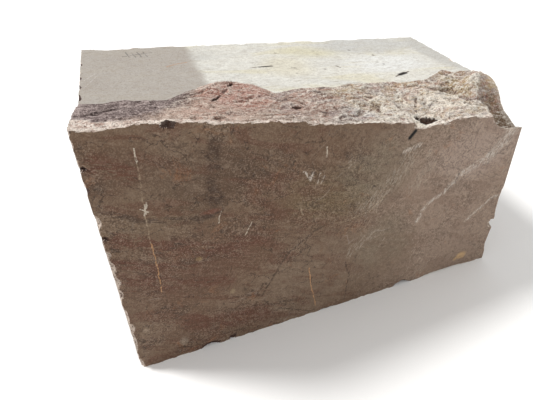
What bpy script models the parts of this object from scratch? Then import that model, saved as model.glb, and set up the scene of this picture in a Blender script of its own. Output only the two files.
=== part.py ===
"""A quarried marble block, saw-cut on its faces, with the rough quarry break left along its
front top edge and knocked-off pieces along its arrises.

Metres, +Z up. The length runs along X, the long front face looks towards -Y, and the origin is
the middle of the base. Sizes are laid out from the front left bottom corner, here called the
setting-out corner: x runs right along the front, y runs back, z runs up.
"""

import itertools
import math

import bmesh
import bpy
import numpy as np
from mathutils import Euler, Matrix, Vector

# Stock
LENGTH = 1.850
DEPTH = 0.993
HEIGHT = 1.053
HEADROOM = 0.20

# The saw cuts are a little off square. Each slope is in metres per metre.
FRONT_SKEW, FRONT_LEAN = 0.030, 0.039
BACK_SKEW = 0.010
LEFT_SKEW, LEFT_LEAN = 0.021, 0.008
RIGHT_SKEW, RIGHT_LEAN = 0.019, -0.027
TOP_FALL, TOP_RISE = -0.084, 0.036

# Each saw cut is the plane normal . point = offset, in setting-out coordinates.
SAW_CUTS = {
    "front": ((-FRONT_SKEW, 1.0, -FRONT_LEAN), 0.0),
    "back": ((-BACK_SKEW, 1.0, 0.0), DEPTH),
    "left": ((1.0, -LEFT_SKEW, -LEFT_LEAN), 0.0),
    "right": ((1.0, -RIGHT_SKEW, -RIGHT_LEAN), LENGTH),
    "base": ((0.0, 0.0, 1.0), 0.0),
    "top": ((-TOP_FALL, -TOP_RISE, 1.0), HEIGHT),
    "headroom": ((0.0, 0.0, 1.0), HEIGHT + HEADROOM),
}

# The broken strip. Stations are (x, value).
# How far back from the setting-out corner the sawn top ends:
STRIP_BACK = (
    (0.00, 0.400), (0.10, 0.392), (0.17, 0.410), (0.27, 0.374), (0.33, 0.382), (0.41, 0.442),
    (0.50, 0.495), (0.62, 0.500), (0.70, 0.478), (0.765, 0.372), (0.87, 0.402), (1.00, 0.398),
    (1.04, 0.387), (1.11, 0.414), (1.23, 0.406), (1.34, 0.408), (1.37, 0.388), (1.50, 0.399),
    (1.60, 0.450), (1.68, 0.505), (1.72, 0.465), (1.78, 0.470), (1.90, 0.490),
)
# Height of the front lip above the plane of the sawn top:
LIP = (
    (0.00, 0.082), (0.05, 0.074), (0.10, 0.073), (0.22, 0.081), (0.30, 0.081), (0.42, 0.065),
    (0.54, 0.046), (0.74, 0.027), (0.87, 0.010), (1.00, -0.002), (1.14, -0.016), (1.235, -0.024),
    (1.256, -0.052), (1.38, -0.052), (1.415, -0.047), (1.440, -0.033), (1.53, -0.032),
    (1.61, -0.039), (1.70, -0.042), (1.90, -0.045),
)
RISE_BULGE = 1.5
# Hills and hollows on the strip: x, y, radius along x, radius along y, height
MOUNDS = (
    (0.12, 0.17, 0.10, 0.06, 0.006),
    (0.50, 0.40, 0.09, 0.06, 0.016),
    (0.63, 0.42, 0.11, 0.06, 0.034),
    (0.765, 0.33, 0.04, 0.06, -0.014),
    (0.97, 0.34, 0.12, 0.05, 0.010),
    (1.10, 0.18, 0.09, 0.05, -0.012),
    (1.34, 0.30, 0.11, 0.05, -0.010),
    (1.58, 0.30, 0.07, 0.06, -0.020),
    (1.60, 0.42, 0.07, 0.04, 0.014),
    (1.72, 0.31, 0.09, 0.075, 0.056),
)
# The break is made of shell-shaped scoops that meet in sharp ridges, stretched along x: each
# size of scoop as (width across the block, depth), over broad swells.
SCOOPS = ((0.110, 0.020), (0.052, 0.020))
SWELL_LENGTH, SWELL_HEIGHT = 0.20, 0.018
STRETCH_ALONG_X = 1.9
BACK_EDGE_RAGGEDNESS = 0.012

# The flake knocked off the right end: its crest in plan as (y, x), and its depth below the
# sawn top's plane where it meets the right end as (y, height).
FLAKE_CREST = (
    (0.05, 1.636), (0.083, 1.636), (0.11, 1.622), (0.13, 1.630), (0.16, 1.612), (0.19, 1.624),
    (0.256, 1.683), (0.32, 1.742), (0.37, 1.798), (0.43, 1.860),
)
FLAKE_FLOOR = (
    (0.05, -0.112), (0.09, -0.113), (0.12, -0.129), (0.15, -0.115), (0.17, -0.104),
    (0.21, -0.089), (0.235, -0.066), (0.255, -0.039), (0.28, -0.012), (0.30, 0.004),
    (0.36, 0.012), (0.44, 0.008),
)
FLAKE_STEEPNESS_FRONT, FLAKE_STEEPNESS_BACK = 4.5, 2.0
FLAKE_FRONT_Y, FLAKE_BACK_Y = 0.09, 0.30

# Grid of the broken surface
COLUMNS, STRIP_ROWS = 132, 25
OVERRUN = 0.05
RIDGE_ANGLE = math.radians(24)

# Knocks on the arrises and pockets in the strip: centre x, y, z, then the three radii
CHIPS = {
    "lip_scallop": ((0.299, 0.036, 1.104), (0.034, 0.026, 0.024)),
    "left_nick_high": ((0.012, 0.034, 1.003), (0.020, 0.022, 0.009)),
    "left_nick_upper": ((0.004, 0.030, 0.925), (0.014, 0.022, 0.018)),
    "left_spall_upper": ((0.006, 0.026, 0.800), (0.017, 0.020, 0.030)),
    "left_notch": ((0.008, 0.022, 0.726), (0.022, 0.022, 0.011)),
    "left_spall_long": ((0.000, 0.014, 0.570), (0.016, 0.020, 0.150)),
    "left_spall_low": ((0.000, 0.008, 0.335), (0.014, 0.018, 0.055)),
    "left_spall_foot": ((0.000, 0.002, 0.190), (0.015, 0.016, 0.070)),
    "left_foot_corner": ((-0.006, -0.006, 0.020), (0.022, 0.022, 0.055)),
    "base_chip_left": ((0.318, 0.002, -0.004), (0.046, 0.022, 0.014)),
    "base_chip_left_small": ((0.424, 0.006, 0.000), (0.022, 0.014, 0.016)),
    "base_chip_middle": ((0.905, 0.020, -0.006), (0.060, 0.020, 0.012)),
    "base_chip_right": ((1.330, 0.034, 0.000), (0.046, 0.024, 0.024)),
    "base_spall_right": ((1.600, 0.046, -0.004), (0.170, 0.020, 0.016)),
    "right_notch": ((1.838, 0.056, 0.245), (0.026, 0.034, 0.026)),
    "right_spall": ((1.856, 0.064, 0.400), (0.026, 0.030, 0.120)),
    "right_spall_foot": ((1.862, 0.052, 0.140), (0.024, 0.028, 0.090)),
    "right_nick_upper": ((1.842, 0.076, 0.640), (0.012, 0.020, 0.040)),
    "end_arris_chip": ((1.834, 0.612, 0.934), (0.020, 0.034, 0.020)),
    "end_arris_chip_front": ((1.840, 0.520, 0.928), (0.018, 0.030, 0.014)),
    "left_arris_chip_back": ((0.022, 0.800, 1.084), (0.012, 0.018, 0.010)),
    "left_arris_chip_middle": ((0.020, 0.645, 1.078), (0.012, 0.016, 0.010)),
    "left_arris_chip": ((0.016, 0.552, 1.076), (0.014, 0.022, 0.012)),
    "left_arris_chip_front": ((0.014, 0.452, 1.074), (0.018, 0.036, 0.014)),
    "back_arris_flake": ((0.190, 1.000, 1.080), (0.110, 0.024, 0.018)),
    "back_arris_chip": ((1.240, 1.010, 0.992), (0.055, 0.026, 0.030)),
    "back_corner_left": ((0.022, 0.998, 0.560), (0.026, 0.024, 0.060)),
    "back_corner_right": ((1.852, 1.016, 0.420), (0.030, 0.028, 0.085)),
    "back_foot_chip": ((0.700, 1.002, 0.004), (0.080, 0.026, 0.034)),
    "end_foot_chip": ((1.862, 0.560, 0.006), (0.020, 0.060, 0.030)),
    "pocket_deep": ((1.318, 0.112, 0.906), (0.052, 0.030, 0.046)),
    "pocket_slot": ((1.284, 0.175, 0.936), (0.016, 0.045, 0.026)),
    "strip_groove": ((0.548, 0.372, 1.062), (0.017, 0.110, 0.030)),
    "strip_pit": ((0.530, 0.172, 1.068), (0.040, 0.024, 0.026)),
    "strip_pit_right": ((0.800, 0.215, 1.012), (0.030, 0.016, 0.018)),
}
# Turn of a chip about the vertical, in degrees, where it isn't square to the block
CHIP_TURNS = {"strip_groove": -32.0, "pocket_slot": 10.0, "strip_pit": 12.0}
CHIP_RAGGEDNESS, CHIP_LUMPS = 0.26, 1.9
# Subdivisions of the ball that cuts a chip, and of the one that cuts a small knock
CHIP_DETAIL, KNOCK_DETAIL = 2, 1

# Small knocks scattered along the arrises out of sight of the front: the two saw cuts that meet
# there, and the two cuts that the arris runs between
WORN_ARRISES = (
    ("back", "left", "base", "top"),
    ("back", "right", "base", "top"),
    ("left", "base", "front", "back"),
    ("right", "base", "front", "back"),
    ("back", "base", "left", "right"),
    ("back", "top", "left", "right"),
)
KNOCK_SPACING = 0.17
KNOCK_LENGTHS, KNOCK_DEPTHS = (0.015, 0.050), (0.008, 0.018)
KNOCK_CLEAR_OF_CORNERS = 0.05
KNOCK_SEED = 12

# Points nearer than this are made one after the cut
CLEAN_UP = 0.0005

# Material slots
SAWN, BROKEN = 0, 1
SAWN_COLOR = (0.30, 0.235, 0.185, 1.0)
BROKEN_COLOR = (0.50, 0.385, 0.32, 1.0)


def lattice_slopes(cells, seed):
    """A repeatable pseudo-random unit vector for each whole-number cell corner."""
    mixed = cells @ np.array((73856093, 19349663, 83492791)) + seed * 2654435
    mixed = ((mixed ^ (mixed >> 13)) * 1274126177) & 0xFFFFFFFF
    turn = (mixed & 0xFFFF) / 0xFFFF * math.tau
    height = (mixed >> 16) / 0xFFFF * 2.0 - 1.0
    across = np.sqrt(1.0 - height**2)
    return np.stack((across * np.cos(turn), across * np.sin(turn), height), axis=-1)


def gradient_noise(points, seed):
    """Smooth noise of about -0.7 to 0.7, with features one unit across."""
    cells = np.floor(points).astype(np.int64)
    inside = points - cells
    fade = inside**3 * (inside * (inside * 6.0 - 15.0) + 10.0)
    total = np.zeros(points.shape[:-1])
    for corner in itertools.product((0, 1), repeat=3):
        slopes = lattice_slopes(cells + np.array(corner), seed)
        value = ((inside - corner) * slopes).sum(axis=-1)
        total += value * np.where(corner, fade, 1.0 - fade).prod(axis=-1)
    return total


def fractal_noise(points, seed, octaves=3):
    """Gradient noise summed over octaves, each half the size and half the height."""
    return sum(gradient_noise(points * 2**n, seed + n) / 2**n for n in range(octaves))


def along(stations, at):
    """The value at a place along (place, value) stations, straight between them."""
    places, values = zip(*stations)
    return np.interp(at, places, values)


def sawn_top(x, y):
    """Height of the plane of the sawn top."""
    return HEIGHT + TOP_FALL * x + TOP_RISE * y


def front_face(x, z):
    """How far back the sawn front face stands."""
    return FRONT_SKEW * x + FRONT_LEAN * z


def strip_back(x):
    """Where the sawn top ends, with a ragged edge."""
    places = np.stack((x / 0.06, np.zeros_like(x), np.zeros_like(x)), axis=-1)
    return along(STRIP_BACK, x) + BACK_EDGE_RAGGEDNESS * fractal_noise(places, 3)


def scooped(plan, seed):
    """Rounded hollows about one unit wide: the least of the squared distances to scattered
    centres, each sunk or raised a little. Hollows meet in sharp ridges. About 0 to 1."""
    cells = np.floor(plan).astype(np.int64)
    least = np.full(plan.shape[:-1], 9.0)
    for offset in itertools.product((-1, 0, 1), (-1, 0, 1), (0,)):
        cell = cells + offset
        scatter = lattice_slopes(cell, seed)
        centre = cell + 0.5 + 0.42 * scatter * (1.0, 1.0, 0.0)
        away = ((plan - centre) * (1.0, 1.0, 0.0)) ** 2
        least = np.minimum(least, away.sum(axis=-1) + 0.35 * scatter[..., 2])
    return least


def roughness(x, y):
    """Swells and shell-shaped scoops of the break, all stretched along x."""
    plan = np.stack((x / STRETCH_ALONG_X, y, np.zeros_like(x)), axis=-1)
    height = SWELL_HEIGHT * fractal_noise(plan / SWELL_LENGTH, 11)
    for number, (width, depth) in enumerate(SCOOPS):
        bend = 0.35 * fractal_noise(plan / width, 60 + number)[..., None]
        height = height + depth * (scooped(plan / width + bend, 80 + number) - 0.25)
    return height


def strip_height(x, y):
    """Height of the broken strip above the plane of the sawn top."""
    front = front_face(x, HEIGHT)
    back = strip_back(x)
    across = np.clip((back - y) / (back - front), 0.0, 1.0)
    height = along(LIP, x) * (1.0 - (1.0 - across) ** RISE_BULGE)
    for mound_x, mound_y, radius_x, radius_y, rise in MOUNDS:
        away = ((x - mound_x) / radius_x) ** 2 + ((y - mound_y) / radius_y) ** 2
        height = height + rise * np.exp(-away) * np.clip(across / 0.12, 0.0, 1.0)
    towards_lip = np.clip((1.0 - across) / 0.12, 0.35, 1.0)
    return height + roughness(x, y) * np.clip(across / 0.10, 0.0, 1.0) * towards_lip


def flake_height(x, y, strip):
    """The strip's height with the flake at the right end taken off.

    From the crest the face drops steeply and then flattens towards the right end.
    """
    crest = along(FLAKE_CREST, y)
    end = LENGTH + RIGHT_SKEW * y + RIGHT_LEAN * HEIGHT
    outwards = np.clip((x - crest) / np.maximum(end - crest, 0.01), 0.0, 1.2)
    backwards = np.clip((y - FLAKE_FRONT_Y) / (FLAKE_BACK_Y - FLAKE_FRONT_Y), 0.0, 1.0)
    steepness = FLAKE_STEEPNESS_FRONT + (FLAKE_STEEPNESS_BACK - FLAKE_STEEPNESS_FRONT) * backwards
    remaining = np.clip(1.0 - outwards, 0.0, 1.0) ** steepness
    floor = along(FLAKE_FLOOR, y) + 0.4 * roughness(y, x)
    flaked = floor + (strip - floor) * remaining
    return np.where(outwards > 0.0, np.minimum(flaked, strip), strip)


def top_surface(x, y):
    """Height of the block's upper surface: sawn plane, broken strip and end flake."""
    strip = strip_height(x, y)
    return sawn_top(x, y) + flake_height(x, y, strip)


def meeting_point(*names):
    """The point where three saw cuts meet."""
    normals, offsets = zip(*(SAW_CUTS[name] for name in names))
    return Vector(np.linalg.solve(np.array(normals), np.array(offsets)))


def base_centre():
    """The middle of the block's outline in plan, in setting-out coordinates."""
    ends, sides, levels = ("left", "right"), ("front", "back"), ("base", "headroom")
    corners = np.array([meeting_point(*cuts) for cuts in itertools.product(ends, sides, levels)])
    middle = (corners.min(axis=0) + corners.max(axis=0)) / 2
    return Vector((middle[0], middle[1], 0.0))


def stone_material(name, color, roughness_value):
    """A matt stone material."""
    material = bpy.data.materials.new(name)
    material.use_nodes = True
    shader = material.node_tree.nodes["Principled BSDF"]
    shader.inputs["Base Color"].default_value = color
    shader.inputs["Roughness"].default_value = roughness_value
    shader.inputs["Metallic"].default_value = 0.0
    material.diffuse_color = color
    return material


def object_from(bm, name, collection, parent, materials):
    """Makes an object from a bmesh, links it and gives it its materials."""
    mesh = bpy.data.meshes.new(name)
    bm.to_mesh(mesh)
    bm.free()
    for material in materials:
        mesh.materials.append(material)
    made = bpy.data.objects.new(name, mesh)
    made.parent = parent
    collection.objects.link(made)
    return made


def make_stock(collection, parent, materials):
    """The sawn stock: a cube whose corners move to where the saw cuts meet."""
    bm = bmesh.new()
    bmesh.ops.create_cube(bm, size=1.0)
    for vertex in bm.verts:
        vertex.co = meeting_point(
            "left" if vertex.co.x < 0 else "right",
            "front" if vertex.co.y < 0 else "back",
            "base" if vertex.co.z < 0 else "headroom",
        )
    return object_from(bm, "marble_block", collection, parent, materials)


def make_top_cutter(collection, parent, materials):
    """Everything above the block's upper surface.

    A grid's columns run along the block. Its rows follow the ragged edge where the sawn top
    ends, with one more row behind for the sawn top itself, and it is extruded upwards.
    """
    bm = bmesh.new()
    bmesh.ops.create_grid(bm, x_segments=COLUMNS, y_segments=STRIP_ROWS + 1, size=0.5)
    u, v = np.array([(vertex.co.x + 0.5, vertex.co.y + 0.5) for vertex in bm.verts]).T
    x = -OVERRUN + u * (LENGTH + 3 * OVERRUN)
    row = v * (STRIP_ROWS + 1)
    front = front_face(x, HEIGHT) - OVERRUN
    in_strip = front + (strip_back(x) - front) * np.minimum(row / STRIP_ROWS, 1.0)
    y = np.where(row > STRIP_ROWS + 0.5, DEPTH + 2 * OVERRUN, in_strip)
    z = top_surface(x, y)
    for vertex, place in zip(bm.verts, np.stack((x, y, z), axis=1)):
        vertex.co = place
    for face in bm.faces:
        face.material_index = SAWN if face.calc_center_median().y > DEPTH / 2 else BROKEN
        face.smooth = True
    above = bmesh.ops.extrude_face_region(bm, geom=bm.faces[:])
    for element in above["geom"]:
        if isinstance(element, bmesh.types.BMVert):
            element.co.z = HEIGHT + 2 * HEADROOM
    bmesh.ops.recalc_face_normals(bm, faces=bm.faces)
    return object_from(bm, "cutter_top", collection, parent, materials)


def scattered_knocks():
    """Places and radii of the small knocks along the worn arrises."""
    chance = np.random.default_rng(KNOCK_SEED)
    knocks = []
    for first_cut, second_cut, from_cut, to_cut in WORN_ARRISES:
        start = meeting_point(first_cut, second_cut, from_cut)
        run = meeting_point(first_cut, second_cut, to_cut) - start
        lengthwise = max(range(3), key=lambda axis: abs(run[axis]))
        count = round(run.length / KNOCK_SPACING)
        for number in range(count):
            part_way = (number + chance.uniform(0.1, 0.9)) / count
            room = KNOCK_CLEAR_OF_CORNERS
            place = start + run * (room + part_way * (1.0 - 2.0 * room))
            radii = list(chance.uniform(*KNOCK_DEPTHS, size=3))
            radii[lengthwise] = chance.uniform(*KNOCK_LENGTHS)
            knocks.append((tuple(place), tuple(radii)))
    return knocks


def make_chip_cutter(name, place, radii, detail, collection, parent, materials):
    """A knocked-out chip: a ball with a ragged skin, stretched to the chip's radii."""
    bm = bmesh.new()
    bmesh.ops.create_icosphere(bm, subdivisions=detail, radius=1.0)
    seed = sum(name.encode())
    points = np.array([vertex.co for vertex in bm.verts])
    swelling = 1.0 + CHIP_RAGGEDNESS * fractal_noise(points * CHIP_LUMPS, seed)
    turn = Euler((0.0, 0.0, math.radians(CHIP_TURNS.get(name, 0.0)))).to_matrix().to_4x4()
    shape = Matrix.Translation(place) @ turn @ Matrix.Diagonal((*radii, 1.0))
    for vertex, reach in zip(bm.verts, swelling):
        vertex.co = shape @ (vertex.co * reach)
    for face in bm.faces:
        face.material_index = BROKEN
        face.smooth = True
    return object_from(bm, "cutter_" + name, collection, parent, materials)


def apply_cut(block):
    """Applies the cut, and merges the points that it leaves within CLEAN_UP of each other."""
    graph = bpy.context.evaluated_depsgraph_get()
    mesh = bpy.data.meshes.new_from_object(block.evaluated_get(graph))
    block.modifiers.clear()
    block.data = mesh
    bm = bmesh.new()
    bm.from_mesh(mesh)
    bmesh.ops.remove_doubles(bm, verts=bm.verts, dist=CLEAN_UP)
    bmesh.ops.triangulate(bm, faces=bm.faces, quad_method="BEAUTY", ngon_method="BEAUTY")
    bmesh.ops.dissolve_degenerate(bm, dist=CLEAN_UP, edges=bm.edges)
    bmesh.ops.triangulate(bm, faces=bm.faces, quad_method="BEAUTY", ngon_method="BEAUTY")
    bm.to_mesh(mesh)
    bm.free()


def shade_by_angle(block):
    """Shades the break smooth up to its ridges and the sawn faces' edges."""
    block.data.set_sharp_from_angle(angle=RIDGE_ANGLE)
    for face in block.data.polygons:
        face.use_smooth = face.material_index == BROKEN


def main():
    """Clears the scene and builds the block at its real size, on the middle of its base."""
    for old in list(bpy.data.objects):
        bpy.data.objects.remove(old, do_unlink=True)

    block_collection = bpy.data.collections.new("marble_block")
    cutter_collection = bpy.data.collections.new("cutters")
    for collection in (block_collection, cutter_collection):
        bpy.context.scene.collection.children.link(collection)

    sawn = stone_material("sawn_marble", SAWN_COLOR, 0.75)
    broken = stone_material("broken_marble", BROKEN_COLOR, 0.9)
    materials = (sawn, broken)

    setting_out = bpy.data.objects.new("setting_out_corner", None)
    setting_out.location = -base_centre()
    block_collection.objects.link(setting_out)

    block = make_stock(block_collection, setting_out, materials)
    cutter_setting = (cutter_collection, setting_out, materials)
    make_top_cutter(*cutter_setting)
    for name, (place, radii) in CHIPS.items():
        make_chip_cutter(name, place, radii, CHIP_DETAIL, *cutter_setting)
    for number, (place, radii) in enumerate(scattered_knocks()):
        make_chip_cutter(f"knock_{number}", place, radii, KNOCK_DETAIL, *cutter_setting)
    for cutter in cutter_collection.objects:
        cutter.hide_render = True
        cutter.display_type = "WIRE"

    cut = block.modifiers.new("break_and_chips", "BOOLEAN")
    cut.operation = "DIFFERENCE"
    cut.solver = "EXACT"
    cut.operand_type = "COLLECTION"
    cut.collection = cutter_collection
    apply_cut(block)
    shade_by_angle(block)


main()
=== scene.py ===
"""Dresses the quarried marble block: saw-cut faces with veins, scratches and mottling, a pale
dusted sawn top, and the rough quarry break along the front top edge, down to its small scoops.

Sizes are in metres, and those in the long tables in millimetres. They are laid out in setting-out
coordinates, from the front left bottom corner: x runs right along the front, y runs back and z
runs up. The block is then moved so that the middle of its base is the origin, which is where the
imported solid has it.
"""

import itertools
import logging
import math
from collections.abc import Callable
from dataclasses import dataclass, field
from enum import Enum

import bpy
import numpy as np
from mathutils import Matrix, Vector


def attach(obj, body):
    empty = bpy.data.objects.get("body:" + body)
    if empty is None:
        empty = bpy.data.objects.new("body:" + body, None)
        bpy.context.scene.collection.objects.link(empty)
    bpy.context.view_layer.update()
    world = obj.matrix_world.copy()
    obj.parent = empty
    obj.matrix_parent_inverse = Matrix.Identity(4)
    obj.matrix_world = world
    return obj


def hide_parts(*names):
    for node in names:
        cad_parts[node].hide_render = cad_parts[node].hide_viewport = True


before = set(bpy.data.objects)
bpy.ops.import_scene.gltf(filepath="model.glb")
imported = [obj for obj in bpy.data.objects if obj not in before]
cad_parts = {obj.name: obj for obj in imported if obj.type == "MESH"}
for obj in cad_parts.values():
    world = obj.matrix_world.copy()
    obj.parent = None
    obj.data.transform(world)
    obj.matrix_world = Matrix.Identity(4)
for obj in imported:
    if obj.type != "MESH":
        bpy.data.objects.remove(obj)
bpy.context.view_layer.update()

Array = np.ndarray
Pair = tuple[float, float]
Triple = tuple[float, float, float]
Stations = tuple[Pair, ...]
Sizes = float | tuple["Sizes", ...]
Color = tuple[float, float, float, float]
Screen = tuple[int, int, int]
log = logging.getLogger("marble_block")


def srgb(red: int, green: int, blue: int) -> Color:
    """A colour as it looks on a screen, 0 to 255, made linear with a full alpha."""
    shares = np.array((red, green, blue)) / 255.0
    linear = np.where(shares > 0.04045, ((shares + 0.055) / 1.055) ** 2.4, shares / 12.92)
    return (*linear.tolist(), 1.0)


def metres(sizes: Sizes) -> Sizes:
    """A size in millimetres, or tuples of sizes however deep, in metres."""
    return tuple(map(metres, sizes)) if isinstance(sizes, tuple) else sizes / 1000.0


def along(stations: Stations, at: Array) -> Array:
    """The values at some places along (place, value) stations, straight between them."""
    places, values = zip(*stations)
    return np.interp(at, places, values)


@dataclass(frozen=True)
class Noise:
    """Gradient noise on a lattice of random slopes, the same on every run."""

    seed: int

    def slopes(self, cells: Array) -> Array:
        """A repeatable unit vector for each whole-number cell: its coordinates are mixed into
        one number, whose low bits give a turn and whose high bits give a height.

        Args:
            cells: Whole-number cells, shape (..., 3).

        Returns:
            Unit vectors, shape (..., 3).
        """
        mixed = cells @ np.array((73856093, 19349663, 83492791)) + self.seed * 2654435
        mixed = ((mixed ^ (mixed >> 13)) * 1274126177) & 0xFFFFFFFF
        turn = (mixed & 0xFFFF) / 0xFFFF * math.tau
        height = (mixed >> 16) / 0xFFFF * 2.0 - 1.0
        across = np.sqrt(1.0 - height**2)
        return np.stack((across * np.cos(turn), across * np.sin(turn), height), axis=-1)

    def smooth(self, points: Array) -> Array:
        """Smooth noise: each lattice corner's slope times the way to it, faded between corners.

        Args:
            points: Places, shape (..., 3), in units of one feature.

        Returns:
            About -0.7 to 0.7, shape (...).
        """
        cells = np.floor(points).astype(np.int64)
        inside = points - cells
        fade = inside**3 * (inside * (inside * 6.0 - 15.0) + 10.0)
        total = np.zeros(points.shape[:-1])
        for corner in itertools.product((0, 1), repeat=3):
            value = ((inside - corner) * self.slopes(cells + np.array(corner))).sum(axis=-1)
            total += value * np.where(corner, fade, 1.0 - fade).prod(axis=-1)
        return total

    def fractal(self, points: Array, octaves: int = 3) -> Array:
        """Smooth noise summed over octaves, each half the size and half the height."""
        layers = (Noise(self.seed + n).smooth(points * 2**n) / 2**n for n in range(octaves))
        return sum(layers)

    def scooped(self, plan: Array) -> Array:
        """Rounded hollows that meet in sharp ridges: the least of the squared distances to
        scattered centres, one a cell, each sunk or raised a little.

        Args:
            plan: Places, shape (..., 3), in units of one hollow. The last coordinate isn't read.

        Returns:
            About 0 at a hollow's floor to 1 at a ridge, shape (...).
        """
        scatter_share, sink_share = 0.42, 0.35
        flat = np.array((1.0, 1.0, 0.0))
        cells = np.floor(plan).astype(np.int64)
        least = np.full(plan.shape[:-1], 9.0)
        for offset in itertools.product((-1, 0, 1), (-1, 0, 1), (0,)):
            cell = cells + offset
            scatter = self.slopes(cell)
            centre = cell + 0.5 + scatter_share * scatter * flat
            away = (((plan - centre) * flat) ** 2).sum(axis=-1)
            least = np.minimum(least, away + sink_share * scatter[..., 2])
        return least


@dataclass(frozen=True)
class SawCuts:
    """The flat cuts that square the block up, each a little off true. Slopes are in metres per
    metre: a skew is along the block or across it, and a lean is up it."""

    length: float = 1.85
    depth: float = 0.993
    height: float = 1.053
    front_skew: float = 0.03
    front_lean: float = 0.039
    back_skew: float = 0.01
    left_skew: float = 0.021
    left_lean: float = 0.008
    right_skew: float = 0.019
    right_lean: float = -0.027
    top_fall: float = -0.084
    top_rise: float = 0.036
    headroom: float = 0.2

    def front(self, x: Array, z: Array) -> Array:
        """How far back the front face stands: its skew times x plus its lean times z."""
        return self.front_skew * x + self.front_lean * z

    def back(self, x: Array) -> Array:
        """How far back the back face stands: the depth plus its skew times x."""
        return self.depth + self.back_skew * x

    def left(self, y: Array, z: Array) -> Array:
        """Where the left end stands: its skew times y plus its lean times z."""
        return self.left_skew * y + self.left_lean * z

    def right(self, y: Array, z: Array) -> Array:
        """Where the right end stands: the length plus its skew times y plus its lean times z."""
        return self.length + self.right_skew * y + self.right_lean * z

    def top(self, x: Array, y: Array) -> Array:
        """Height of the sawn top: the height plus its fall times x plus its rise times y."""
        return self.height + self.top_fall * x + self.top_rise * y

    def between_ends(self, share: Array, y: Array, z: Array) -> Array:
        """The x at a share of the way from the left end to the right end, at a y and a z."""
        left = self.left(y, z)
        return left + share * (self.right(y, z) - left)

    def corner(self, right: int, back: int, z: float | None = None) -> Array:
        """Where two side cuts meet, at a height or at the sawn top. The cuts are nearly square,
        so putting each one's answer into the others settles in a few rounds.

        Args:
            right: 0 for the left end, 1 for the right end.
            back: 0 for the front face, 1 for the back face.
            z: The height, or None for the sawn top.

        Returns:
            The point.
        """
        x, y = right * self.length, back * self.depth
        at = self.height if z is None else z
        for _ in range(20):
            x = self.between_ends(right, y, at)
            y = self.back(x) if back else self.front(x, at)
            at = self.top(x, y) if z is None else z
        return np.array((x, y, at))

    def base_centre(self) -> Array:
        """The middle, in plan, of the box round the sawn stock: its corners at the base and at
        the height of the headroom left above it for the break.

        Returns:
            The point, at z = 0.
        """
        places = itertools.product((0, 1), (0, 1), (0.0, self.height + self.headroom))
        corners = np.array([self.corner(*place) for place in places])
        middle = (corners.min(axis=0) + corners.max(axis=0)) / 2.0
        return np.array((middle[0], middle[1], 0.0))


@dataclass(frozen=True)
class Mound:
    """A hill, or a hollow where its height is less than 0, on the broken strip."""

    x: float
    y: float
    radius_x: float
    radius_y: float
    height: float


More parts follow.
